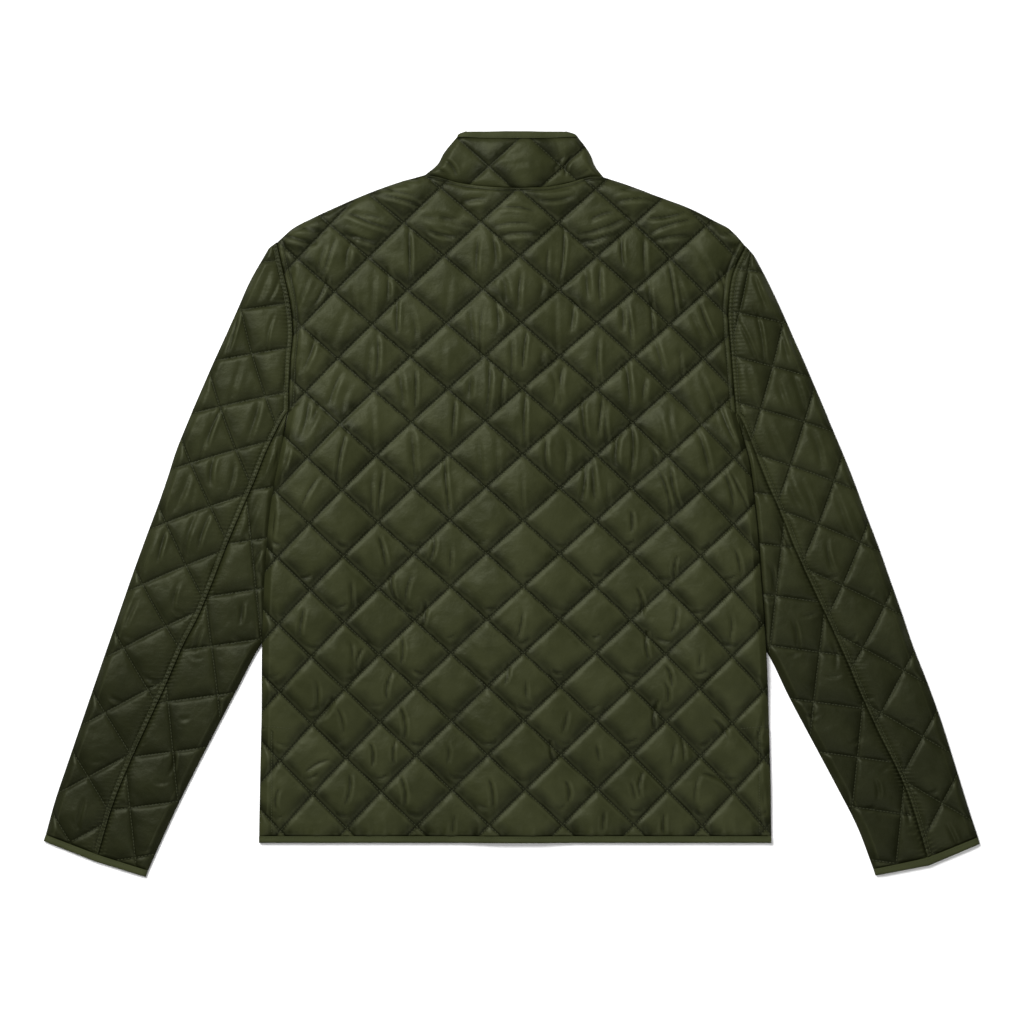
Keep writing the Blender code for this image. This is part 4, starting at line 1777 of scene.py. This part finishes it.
class Graph:
    """The node tree of one material, ending in a Principled shader."""

    def __init__(self, name: str) -> None:
        """Start a material with only its output and shader.

        Args:
            name: the material's name.
        """
        self.material = bpy.data.materials.new(name)
        self.material.use_nodes = True
        self.tree = self.material.node_tree
        self.tree.nodes.clear()
        self.shader = self.tree.nodes.new("ShaderNodeBsdfPrincipled")
        output = self.tree.nodes.new("ShaderNodeOutputMaterial")
        self.tree.links.new(self.shader.outputs[0], output.inputs[0])

    def feed(self, node: bpy.types.Node, key: str | int, value: object) -> None:
        """Link a value to an input, or set the input.

        Args:
            node: the node.
            key: its name or number.
            value: an output or a constant.
        """
        if isinstance(value, Value):
            self.tree.links.new(value.socket, node.inputs[key])
        else:
            node.inputs[key].default_value = value

    def node(
        self, kind: str, settings: dict[str, object], inputs: dict[str | int, object], output: str | int
    ) -> Value:
        """Add a node.

        Args:
            kind: the node's type.
            settings: its properties, set first.
            inputs: values or links for its sockets.
            output: which output is wanted.

        Returns:
            The wanted output.
        """
        made = self.tree.nodes.new(kind)
        for key, value in settings.items():
            setattr(made, key, value)
        for key, value in inputs.items():
            self.feed(made, key, value)
        return Value(self, made.outputs[output])

    def place(self) -> Value:
        """Coordinates of the piece, in metres."""
        return self.node("ShaderNodeTexCoord", {}, {}, "Object")

    def noise(self, scale: float, detail: float) -> Value:
        """Noise from 0 to 1, with scale bumps in a metre."""
        inputs = {"Vector": self.place(), "Scale": scale, "Detail": detail}
        return self.node("ShaderNodeTexNoise", {}, inputs, 0)

    def mix(self, share: Value, first: object, second: object) -> Value:
        """Mix two colours.

        Args:
            share: share of the second colour.
            first: the first colour.
            second: the second colour.

        Returns:
            The mixed colour.
        """
        factor, colour_a, colour_b, result = 0, 6, 7, 2
        inputs = {factor: share, colour_a: first, colour_b: second}
        return self.node("ShaderNodeMix", {"data_type": "RGBA"}, inputs, result)

    def bump(self, height: Value, distance: float, strength: float, base: Value | None) -> Value:
        """Turn a height into a bump.

        Args:
            height: the height, from 0 to 1.
            distance: what a height of 1 is, in metres.
            strength: how strong the bump is, from 0 to 1.
            base: a bump below this one, if any.

        Returns:
            The surface's direction.
        """
        inputs = {"Height": height, "Distance": distance, "Strength": strength}
        if base is not None:
            inputs["Normal"] = base
        return self.node("ShaderNodeBump", {}, inputs, 0)

    def shade(self, **inputs: object) -> bpy.types.Material:
        """Set the shader's inputs.

        Args:
            **inputs: values of the inputs, named with underscores for spaces.

        Returns:
            The material.
        """
        for key, value in inputs.items():
            self.feed(self.shader, key.replace("_", " "), value)
        return self.material


@dataclass(frozen=True)
class WovenFinish:
    """Finely woven, slightly glossy cloth with fine crumples and darker sewn lines.

    Colour and pale are its ground, line is the dark of seams and also of the painted shade beside the
    quilting, low in each diamond and in creases, and glint is the painted highlight on ridges. On the
    sleeves the ground is also darkened towards the cuff as painted shade. Widths are in millimetres, and
    scales are bumps in a metre.
    """

    name: str
    colour: tuple[float, float, float]
    pale: tuple[float, float, float]
    line: tuple[float, float, float]
    glint: tuple[float, float, float]
    roughness: float
    gloss: float = 0.07
    pitch: float = 50.6
    deepen: float = 0.0
    shade_width: float = 5.0
    shade_share: float = 0.16
    low_width: float = 17.0
    low_share: float = 0.95
    ragged: float = 16.0
    ragged_scale: float = 42.0
    mottle_scale: float = 34.0
    broad_scale: float = 6.0
    crumple_scale: float = 75.0
    crumple_height: float = 0.0022
    weave_scale: float = 1500.0
    weave_height: float = 0.0002
    cuff_y: float = -0.26
    cap_y: float = 0.06

    def build(self) -> bpy.types.Material:
        """Make the material.

        Returns:
            The material.
        """
        graph = Graph(self.name)
        mottle = graph.noise(self.mottle_scale, 5.0).soft(0.38, 0.64)
        broad = graph.noise(self.broad_scale, 2.0).soft(0.3, 0.7)
        ground = graph.mix(0.55 * mottle + 0.45 * broad, (*self.colour, 1.0), (*self.pale, 1.0))
        # Painted shade: the ground darkens towards the cuff, where the sleeve lies in less light.
        if self.deepen > 0.0:
            height = graph.node("ShaderNodeSeparateXYZ", {}, {0: graph.place()}, "Y")
            toward_cuff = 1.0 - height.soft(self.cuff_y, self.cap_y)
            ground = graph.mix(self.deepen * toward_cuff, ground, (0.0, 0.0, 0.0, 1.0))
        stored = graph.node("ShaderNodeAttribute", {"attribute_name": "quilt"}, {}, "Vector")
        parts = [graph.node("ShaderNodeSeparateXYZ", {}, {0: stored}, axis) for axis in ("X", "Y", "Z")]
        near = parts[0].maths("PINGPONG", 0.5).maths("MINIMUM", parts[1].maths("PINGPONG", 0.5))
        line = (*self.line, 1.0)
        sewn = 1.0 - (near * self.pitch).soft(0.1, 0.9)
        # Painted shade beside each quilting line.
        beside = 1.0 - (near * self.pitch).soft(0.0, self.shade_width)
        shaded = graph.mix(self.shade_share * beside, ground, line)
        # Painted shade: each diamond darkens towards its lower corner, with ragged edges.
        rise = [(1.0 - part).maths("FRACT") for part in parts[:2]]
        above = rise[0].maths("MINIMUM", rise[1])
        uneven = above * self.pitch + self.ragged * (graph.noise(self.ragged_scale, 4.0) - 0.5)
        low = 1.0 - uneven.soft(-1.5, self.low_width)
        painted_low_shade = graph.mix(self.low_share * low, shaded, line)
        # Painted shade in creases and hollows.
        painted_crease_shade = graph.mix(0.6 * parts[2].soft(0.55, 0.95), painted_low_shade, line)
        # Painted highlight: ridges are lightened towards the glint colour.
        raised = 1.0 - parts[2].soft(0.1, 0.46)
        wear_and_painted_highlight = graph.mix(0.25 * raised, painted_crease_shade, (*self.glint, 1.0))
        base = graph.mix(0.4 * sewn, wear_and_painted_highlight, line)
        crumple = graph.bump(graph.noise(self.crumple_scale, 4.0), self.crumple_height, 0.42, None)
        weave = graph.bump(graph.noise(self.weave_scale, 1.0), self.weave_height, 0.35, crumple)
        rough = self.roughness + 0.12 * (graph.noise(70.0, 3.0) - 0.5)
        return graph.shade(
            Base_Color=base,
            Roughness=rough,
            Normal=weave,
            Specular_IOR_Level=self.gloss,
            Specular_Tint=(0.95, 1.0, 0.72, 1.0),
        )


@dataclass(frozen=True)
class PlainFinish:
    """One colour and roughness, for thread, metal and the floor."""

    name: str
    colour: tuple[float, float, float]
    roughness: float
    metallic: float = 0.0

    def build(self) -> bpy.types.Material:
        """Make the material.

        Returns:
            The material.
        """
        return Graph(self.name).shade(
            Base_Color=(*self.colour, 1.0),
            Roughness=self.roughness,
            Metallic=self.metallic,
            Specular_IOR_Level=0.15,
        )


@dataclass(frozen=True)
class AgedBrass:
    """Darkened brass with lighter spots where it is rubbed."""

    name: str = "aged_brass"

    def build(self) -> bpy.types.Material:
        """Make the material.

        Returns:
            The material.
        """
        graph = Graph(self.name)
        wear_and_painted_highlight = graph.noise(420.0, 3.0).soft(0.45, 0.7)
        base = graph.mix(wear_and_painted_highlight, (0.16, 0.12, 0.06, 1.0), (0.36, 0.28, 0.15, 1.0))
        return graph.shade(Base_Color=base, Roughness=0.5 - 0.2 * wear_and_painted_highlight, Metallic=1.0)


SHELL = WovenFinish(
    "shell",
    colour=(0.0158, 0.0178, 0.0061),
    pale=(0.0250, 0.0276, 0.0107),
    line=(0.0036, 0.0042, 0.0014),
    glint=(0.0440, 0.0480, 0.0230),
    roughness=0.42,
)
# Painted shade: the sleeves get a darker copy of the shell, as they lie in less light, darkened further
# towards the cuff.
SHADED_SLEEVE_SHELL = replace(
    SHELL,
    name="shell_sleeve_painted_shade",
    colour=(0.0134, 0.0151, 0.0052),
    pale=(0.0212, 0.0235, 0.0091),
    deepen=0.4,
    low_share=0.6,
)
TRIM = WovenFinish(
    "binding",
    colour=(0.0230, 0.0265, 0.0100),
    pale=(0.0300, 0.0340, 0.0135),
    line=(0.0080, 0.0090, 0.0040),
    glint=(0.0440, 0.0480, 0.0230),
    roughness=0.6,
)
THREAD = PlainFinish("thread", (0.034, 0.038, 0.017), 0.7)
FLOOR = PlainFinish("floor", (0.93, 0.93, 0.93), 0.9)


# ------------------------------------------------------------------ creases
@dataclass
class Wrinkles:
    """Creases of one panel: its own listed ones, and small ones in each quilted diamond."""

    quilting: Quilting
    outline: np.ndarray
    seed: int
    placed: tuple[Crease, ...] = ()
    upper: float = 610.0
    lower: float = 335.0
    lean: float = 0.0

    def in_diamonds(self) -> list[Crease]:
        """Make small creases that follow how the cloth hangs at each height.

        Returns:
            The creases of every diamond.
        """
        rng = np.random.default_rng(self.seed)
        a, b = self.quilting.lines(self.outline[:, 0], self.outline[:, 1])
        pairs = np.array(
            [
                (i + 0.5, j + 0.5)
                for i in range(math.floor(a.min()), math.ceil(a.max()))
                for j in range(math.floor(b.min()), math.ceil(b.max()))
            ]
        )
        xs, ys = self.quilting.locate(pairs[:, 0], pairs[:, 1])
        made = []
        for x, y in zip(xs, ys):
            draws = rng.uniform(-1.0, 1.0, 32)
            if y > self.upper:
                made += self.flat_folds(x, y, draws)
            elif y > self.lower:
                made += self.upright(x, y, draws)
            else:
                made += self.dimples(x, y, draws)
        return made

    def flat_folds(self, x: float, y: float, draws: np.ndarray) -> list[Crease]:
        """Make level waves beside the shoulders.

        Args:
            x, y: the diamond's middle.
            draws: numbers from -1 to 1.

        Returns:
            The waves.
        """
        made = []
        for number in range(3):
            d = draws[7 * number :]
            turn = 90.0 + 9.0 * d[0] + self.lean - 12.0 * math.copysign(1.0, x) * (abs(x) > 60.0)
            up = 11.0 * (number - 1)
            made.append(
                Crease(
                    x=x + 8.0 * d[1],
                    y=y + up + 4.0 * d[2],
                    angle=turn,
                    length=54.0 + 12.0 * d[3] - 1.4 * abs(up),
                    bow=4.0 * d[4],
                    width=2.9 + 0.6 * d[5],
                    depth=1.45 + 0.55 * d[6],
                )
            )
        return made

    def upright(self, x: float, y: float, draws: np.ndarray) -> list[Crease]:
        """Make thin upright creases on the chest.

        Args:
            x, y: the diamond's middle.
            draws: numbers from -1 to 1.

        Returns:
            The creases.
        """
        made = []
        count = 1 + int(draws[0] > -0.5) + int(draws[0] > 0.35)
        for number in range(count):
            d = draws[2 + 6 * number :]
            side = (number - 0.5 * (count - 1)) * 15.0 + 5.5 * d[0]
            radial = -22.0 * math.copysign(ease(np.float64((abs(x) - 120.0) / 90.0)), x)
            made.append(
                Crease(
                    x=x + side,
                    y=y + 9.0 * d[1],
                    angle=self.lean + 8.0 * d[2] + radial * (self.lean == 0.0),
                    length=60.0 + 14.0 * d[3] - 1.5 * abs(side),
                    bow=3.5 * d[4],
                    width=2.7 + 0.9 * d[5],
                    depth=1.3 + 0.8 * d[1],
                )
            )
        return made

    def dimples(self, x: float, y: float, draws: np.ndarray) -> list[Crease]:
        """Make a soft level dimple low in a diamond, and in some an upright crease.

        Args:
            x, y: the diamond's middle.
            draws: numbers from -1 to 1.

        Returns:
            The creases.
        """
        dimple = Crease(
            x=x + 5.0 * draws[0],
            y=y - 0.26 * self.quilting.height + 4.0 * draws[1],
            angle=90.0 + self.lean + 30.0 * draws[2],
            length=16.0 + 5.0 * draws[3],
            bow=2.0,
            width=2.4,
            depth=0.7 + 0.4 * draws[4],
        )
        if draws[5] <= 0.1:
            return [dimple]
        upright = Crease(
            x=x + 9.0 * draws[6],
            y=y + 5.0 * draws[7],
            angle=self.lean + 14.0 * draws[8],
            length=30.0 + 8.0 * draws[9],
            bow=3.0 * draws[10],
            width=2.4,
            depth=1.3 + 0.4 * draws[11],
        )
        return [dimple, upright]

    def all(self) -> tuple[Crease, ...]:
        """Every crease of the panel."""
        return (*self.in_diamonds(), *self.placed)


# ------------------------------------------------------------------ studio
class Lamp(NamedTuple):
    """One round soft light: its place and size in metres, and its power in watts."""

    name: str
    place: tuple[float, float, float]
    size: float
    power: float


KEY = Lamp("key", (-1.3, 1.7, 3.3), 1.9, 250.0)
FILL = Lamp("fill", (0.5, -1.2, 2.0), 1.5, 16.0)


@dataclass
class Studio:
    """White floor, soft light from above the collar, and the camera straight above."""

    lens: float = 120.0
    height: float = 3.55
    centre: tuple[float, float] = (0.0003, -0.0083)
    floor_half: float = 6.0
    floor_z: float = -0.0002
    sky: float = 0.20

    def floor(self) -> None:
        """Lay the floor under the jacket."""
        signs = ((-1, -1), (1, -1), (1, 1), (-1, 1))
        points = [(x * self.floor_half, y * self.floor_half, self.floor_z) for x, y in signs]
        mesh = bpy.data.meshes.new("floor")
        mesh.from_pydata(points, [], [[0, 1, 2, 3]])
        mesh.materials.append(FLOOR.build())
        ground = bpy.data.objects.new("floor", mesh)
        bpy.context.collection.objects.link(ground)

    def hang(self, lamp: Lamp) -> None:
        """Hang one soft light that points at the jacket.

        Args:
            lamp: the light's place, size and power.
        """
        light = bpy.data.lights.new(lamp.name, "AREA")
        light.shape = "DISK"
        light.size = lamp.size
        light.energy = lamp.power
        hung = bpy.data.objects.new(lamp.name, light)
        hung.location = lamp.place
        hung.rotation_euler = (-Vector(lamp.place)).to_track_quat("-Z", "Y").to_euler()
        bpy.context.collection.objects.link(hung)

    def light(self) -> None:
        """Light the jacket softly, mostly from the collar's side."""
        world = bpy.data.worlds.new("studio")
        world.use_nodes = True
        background = world.node_tree.nodes["Background"]
        background.inputs["Color"].default_value = (1.0, 1.0, 1.0, 1.0)
        background.inputs["Strength"].default_value = self.sky
        bpy.context.scene.world = world
        self.hang(KEY)
        self.hang(FILL)
        bpy.context.scene.view_settings.view_transform = "Standard"

    def camera(self) -> None:
        """Hang the camera above the jacket, looking straight down."""
        data = bpy.data.cameras.new("camera")
        data.lens = self.lens
        data.sensor_width = 36.0
        camera = bpy.data.objects.new("camera", data)
        camera.location = (*self.centre, self.height)
        bpy.context.collection.objects.link(camera)
        bpy.context.scene.camera = camera

    def build(self) -> None:
        """Set up the floor, the lights and the camera."""
        self.floor()
        self.light()
        self.camera()


# ------------------------------------------------------------------ the jacket
LEFT_TOP = Quilting(-300.0, 400.0, 72.6, 69.5, 1.155, 2.535, 15.53, 195.0, 5.0e-4, -57.9)
RIGHT_TOP = Quilting(-300.0, 400.0, 68.6, 71.6, 1.074, 3.195, 16.09, 229.1, 4.0e-4, -60.3, mirror=-1)
LEFT_UNDER = Quilting(-321.0, 256.0, 72.0, 74.0, 0.0, 0.0, 38.0)
RIGHT_UNDER = Quilting(-321.0, 250.0, 72.0, 74.0, 0.0, 0.0, 38.0, mirror=-1)
COLLAR_QUILTING = Quilting(0.0, 746.0, 77.0, 70.0, 0.0, -0.264)
SEWN_LINE = Thread()
TOPSTITCH = Thread(3.0, 2.2, 0.3, 0.05)


COLLAR_CREASES = (
    Crease(-68.0, 700.5, -37.0, 24.0, 3.0, 2.2, 1.8),
    Crease(-78.0, 696.0, -62.0, 18.0, 2.0, 2.4, 1.1),
    Crease(55.5, 703.0, 21.0, 25.0, -3.0, 2.0, 1.7),
    Crease(45.0, 705.0, 38.0, 22.0, -2.0, 2.2, 1.2),
    Crease(68.0, 697.0, 66.0, 20.0, 2.0, 2.4, 1.0),
    Crease(-6.0, 716.0, 86.0, 30.0, 2.0, 3.2, 0.6),
    Crease(12.0, 704.0, 94.0, 26.0, -2.0, 3.2, 0.5),
)
LOWER_BACK = (
    Crease(-119.0, 200.0, 2.0, 30.0, 2.0, 2.0, 1.9),
    Crease(-130.0, 165.0, 14.0, 34.0, -3.0, 2.2, 1.8),
    Crease(-118.0, 125.0, -8.0, 36.0, 3.0, 2.2, 2.0),
    Crease(-125.0, 96.0, 6.0, 28.0, -2.0, 1.9, 1.7),
    Crease(-150.0, 92.0, -4.0, 26.0, 2.0, 2.0, 1.6),
    Crease(-118.0, 54.0, -9.0, 34.0, 3.0, 2.2, 1.9),
    Crease(-162.0, 193.0, 22.0, 26.0, -2.0, 2.3, 1.5),
    Crease(-96.0, 238.0, 8.0, 30.0, 2.0, 2.2, 1.6),
    Crease(-126.0, 268.0, -6.0, 32.0, -3.0, 2.1, 1.7),
    Crease(-88.0, 306.0, 10.0, 30.0, 3.0, 2.2, 1.6),
    Crease(137.0, 206.0, -4.0, 32.0, -2.0, 2.1, 1.8),
    Crease(158.0, 172.0, -12.0, 28.0, 3.0, 2.2, 1.7),
    Crease(146.0, 134.0, 7.0, 34.0, -3.0, 2.2, 1.9),
    Crease(172.0, 98.0, -8.0, 28.0, 2.0, 2.0, 1.6),
    Crease(131.0, 62.0, 9.0, 30.0, -3.0, 2.2, 1.8),
    Crease(128.0, 250.0, -10.0, 34.0, 3.0, 2.2, 1.7),
    Crease(166.0, 286.0, 6.0, 28.0, -2.0, 2.0, 1.6),
    Crease(-10.0, 176.0, 12.0, 24.0, 2.0, 2.2, 1.3),
    Crease(38.0, 96.0, -10.0, 26.0, -2.0, 2.2, 1.3),
    Crease(-196.0, 141.0, 30.0, 30.0, 3.0, 2.6, 1.5),
    Crease(-205.0, 80.0, 62.0, 34.0, -3.0, 2.8, 1.5),
    Crease(212.0, 118.0, -34.0, 30.0, 3.0, 2.6, 1.5),
    Crease(206.0, 66.0, -64.0, 32.0, 3.0, 2.8, 1.5),
)


@dataclass
class Jacket:
    """The whole jacket. Rows of stitches are placed in millimetres."""

    cut: Cut
    puff: Puff = Puff()
    armhole_row: float = 4.7
    hind_seam_rows: tuple[float, float] = (4.9, 1.5)
    vent_x: float = 253.0
    hem_half: float = 262.0
    hem_row: float = 5.4
    sleeve_lean: float = 16.0

    def outline(self) -> np.ndarray:
        """Outline the back.

        Returns:
            The closed outline.
        """
        at = np.linspace(0.0, len(BODY_ROWS) - 1.0, 300)
        left, right = body_edge(Side.LEFT, at), body_edge(Side.RIGHT, at)
        share = np.linspace(-1.0, 1.0, 200)[1:-1]
        grid = BodyGrid(share, np.array([0.0]))
        top = np.stack([grid.x[0], grid.y[0]], axis=1)
        return np.concatenate([left[::-1], top, right])

    def collar_outline(self) -> np.ndarray:
        """Outline the collar's upper layer, below its binding.

        Returns:
            The closed outline.
        """
        rows = [(row.left, row.right, COLLAR_FOOT + 47.0 * row.share) for row in COLLAR_ROWS[:-2]]
        left = [(-0.98 * low, y) for low, _, y in rows]
        right = [(0.98 * high, y) for _, high, y in rows]
        bottom = [(60.0, 683.5), (0.0, 681.5), (-60.0, 683.5)]
        return np.array([*left, *right[::-1], *bottom])

    def sleeve_outline(self, sleeve: Sleeve, lower: bool) -> np.ndarray:
        """Outline the upper layer of a top sleeve or of an under sleeve.

        Args:
            sleeve: the sleeve.
            lower: True for the under sleeve.

        Returns:
            The closed outline.
        """
        at = np.linspace(UNDER_SLEEVE_ROW if lower else 0.0, sleeve.last_row, 300)
        outer, seam, inner = sleeve.chains(at)
        return np.concatenate([inner if lower else outer, seam[::-1]])

    def sew_back(self, panel: bpy.types.Object, hem: bpy.types.Object, outline: np.ndarray) -> Stitching:
        """Sew the back: its quilting, the armholes, the side vents and the hem.

        Args:
            panel: the back.
            hem: the back's hem binding.
            outline: the back's outline.

        Returns:
            The rows of stitches.
        """
        sewn = Stitching("back_stitches", self.cut)
        sewn.sew(panel, quilt_runs(BACK_QUILTING, outline), SEWN_LINE)
        for side in Side:
            hole = body_edge(side, np.linspace(0.05, UNDERARM_ROW, 120))
            sewn.sew(panel, [offset_run(hole, -side.value * self.armhole_row)], TOPSTITCH)
            x = self.vent_x * side.value
            tip = np.array([[x - 20.0 * side.value, 119.0], [x + 9.0 * side.value, 122.0]])
            sewn.sew(panel, [np.array([[x, 11.0], [x, 116.0]]), tip], TOPSTITCH)
        sewn.sew(hem, [np.array([[-self.hem_half, self.hem_row], [self.hem_half, self.hem_row]])], TOPSTITCH)
        return sewn

    def build_sleeve(
        self, sleeve: Sleeve, quiltings: Sequence[Quilting], finishes: Sequence[bpy.types.Material]
    ) -> None:
        """Build one sleeve, sew it and log the cut of its cloth.

        Args:
            sleeve: the sleeve.
            quiltings: the lattices of its top and under sleeves.
            finishes: its shell, its binding and its thread.
        """
        shell, trim, thread = finishes
        side = sleeve.side
        outlines = [self.sleeve_outline(sleeve, lower) for lower in (False, True)]
        lean = self.sleeve_lean * -side.value
        sleeve.creases = Wrinkles(quiltings[0], outlines[0], 200 + side.value, lower=300.0, lean=lean).all()
        pieces = sleeve.build(shell, trim)
        sewn = Stitching(side.label + "_sleeve_stitches", self.cut)
        for piece, quilting, edge in zip(pieces, quiltings, outlines):
            sewn.sew(piece, quilt_runs(quilting, edge), SEWN_LINE)
        seam = sleeve.chains(np.linspace(0.05, sleeve.last_row - 0.02, 300))[1]
        rows = [offset_run(seam, side.value * distance) for distance in self.hind_seam_rows]
        sewn.sew(pieces[0], rows, TOPSTITCH)
        sewn.sew(pieces[2], [sleeve.cuff_row()], TOPSTITCH)
        sleeve_sewn = sewn.build(thread, Slot.SHELL)
        declare_cloth(pieces[0])
        declare_cloth(pieces[1])

    def build(self) -> None:
        """Build every part in order and log the cut of its cloth."""
        shell, trim, thread = SHELL.build(), TRIM.build(), THREAD.build()
        outline = self.outline()
        shaded_sleeve_shell = SHADED_SLEEVE_SHELL.build()
        creases = Wrinkles(BACK_QUILTING, outline, 101, LOWER_BACK).all()
        panel = BackPanel(self.cut, creases=creases).build(shell)
        fronts = [FrontPanel(self.cut, side).build(shell) for side in Side]
        hems = [
            HemBinding(self.cut, "back_hem_binding", -1.0, 1.0, False, True).build(trim),
            HemBinding(self.cut, "left_front_hem_binding", -1.0, OVERLAP_SHARE, True, False).build(trim),
            HemBinding(self.cut, "right_front_hem_binding", -OVERLAP_SHARE, 1.0, True, True).build(trim),
        ]
        collar = Collar(self.cut, COLLAR_QUILTING, self.puff, COLLAR_CREASES).build(shell, trim)
        back_sewn = self.sew_back(panel, hems[0], outline).build(thread, Slot.SHELL)
        sewn = Stitching("collar_stitches", self.cut)
        sewn.sew(collar[0], quilt_runs(COLLAR_QUILTING, self.collar_outline()), SEWN_LINE)
        sewn.sew(collar[1], [np.array([[-56.0, 733.6], [58.0, 733.6]])], TOPSTITCH)
        collar_sewn = sewn.build(thread, Slot.SHELL)
        declare_cloth(panel)
        for front, hem_piece in zip(fronts, hems[1:]):
            declare_cloth(front)
        declare_cloth(collar[0])
        for side, arm, cuff, top, under in (
            (Side.LEFT, LEFT_ARM_ROWS, LEFT_CUFF_EDGE, LEFT_TOP, LEFT_UNDER),
            (Side.RIGHT, RIGHT_ARM_ROWS, RIGHT_CUFF_EDGE, RIGHT_TOP, RIGHT_UNDER),
        ):
            sleeve = Sleeve(self.cut, side, arm, cuff, top, under, self.puff)
            self.build_sleeve(sleeve, (top, under), (shaded_sleeve_shell, trim, thread))
        brass = AgedBrass().build()
        for number in range(STUD_COUNT):
            stud = bpy.data.objects["front_stud_" + str(number + 1)]
            for slot in stud.material_slots:
                slot.material = brass


def main() -> None:
    """Build the jacket and its studio."""
    logging.basicConfig(level=logging.INFO, format="%(name)s: %(message)s")
    Jacket(Cut.from_frame()).build()
    Studio().build()


if __name__ == "__main__":
    main()
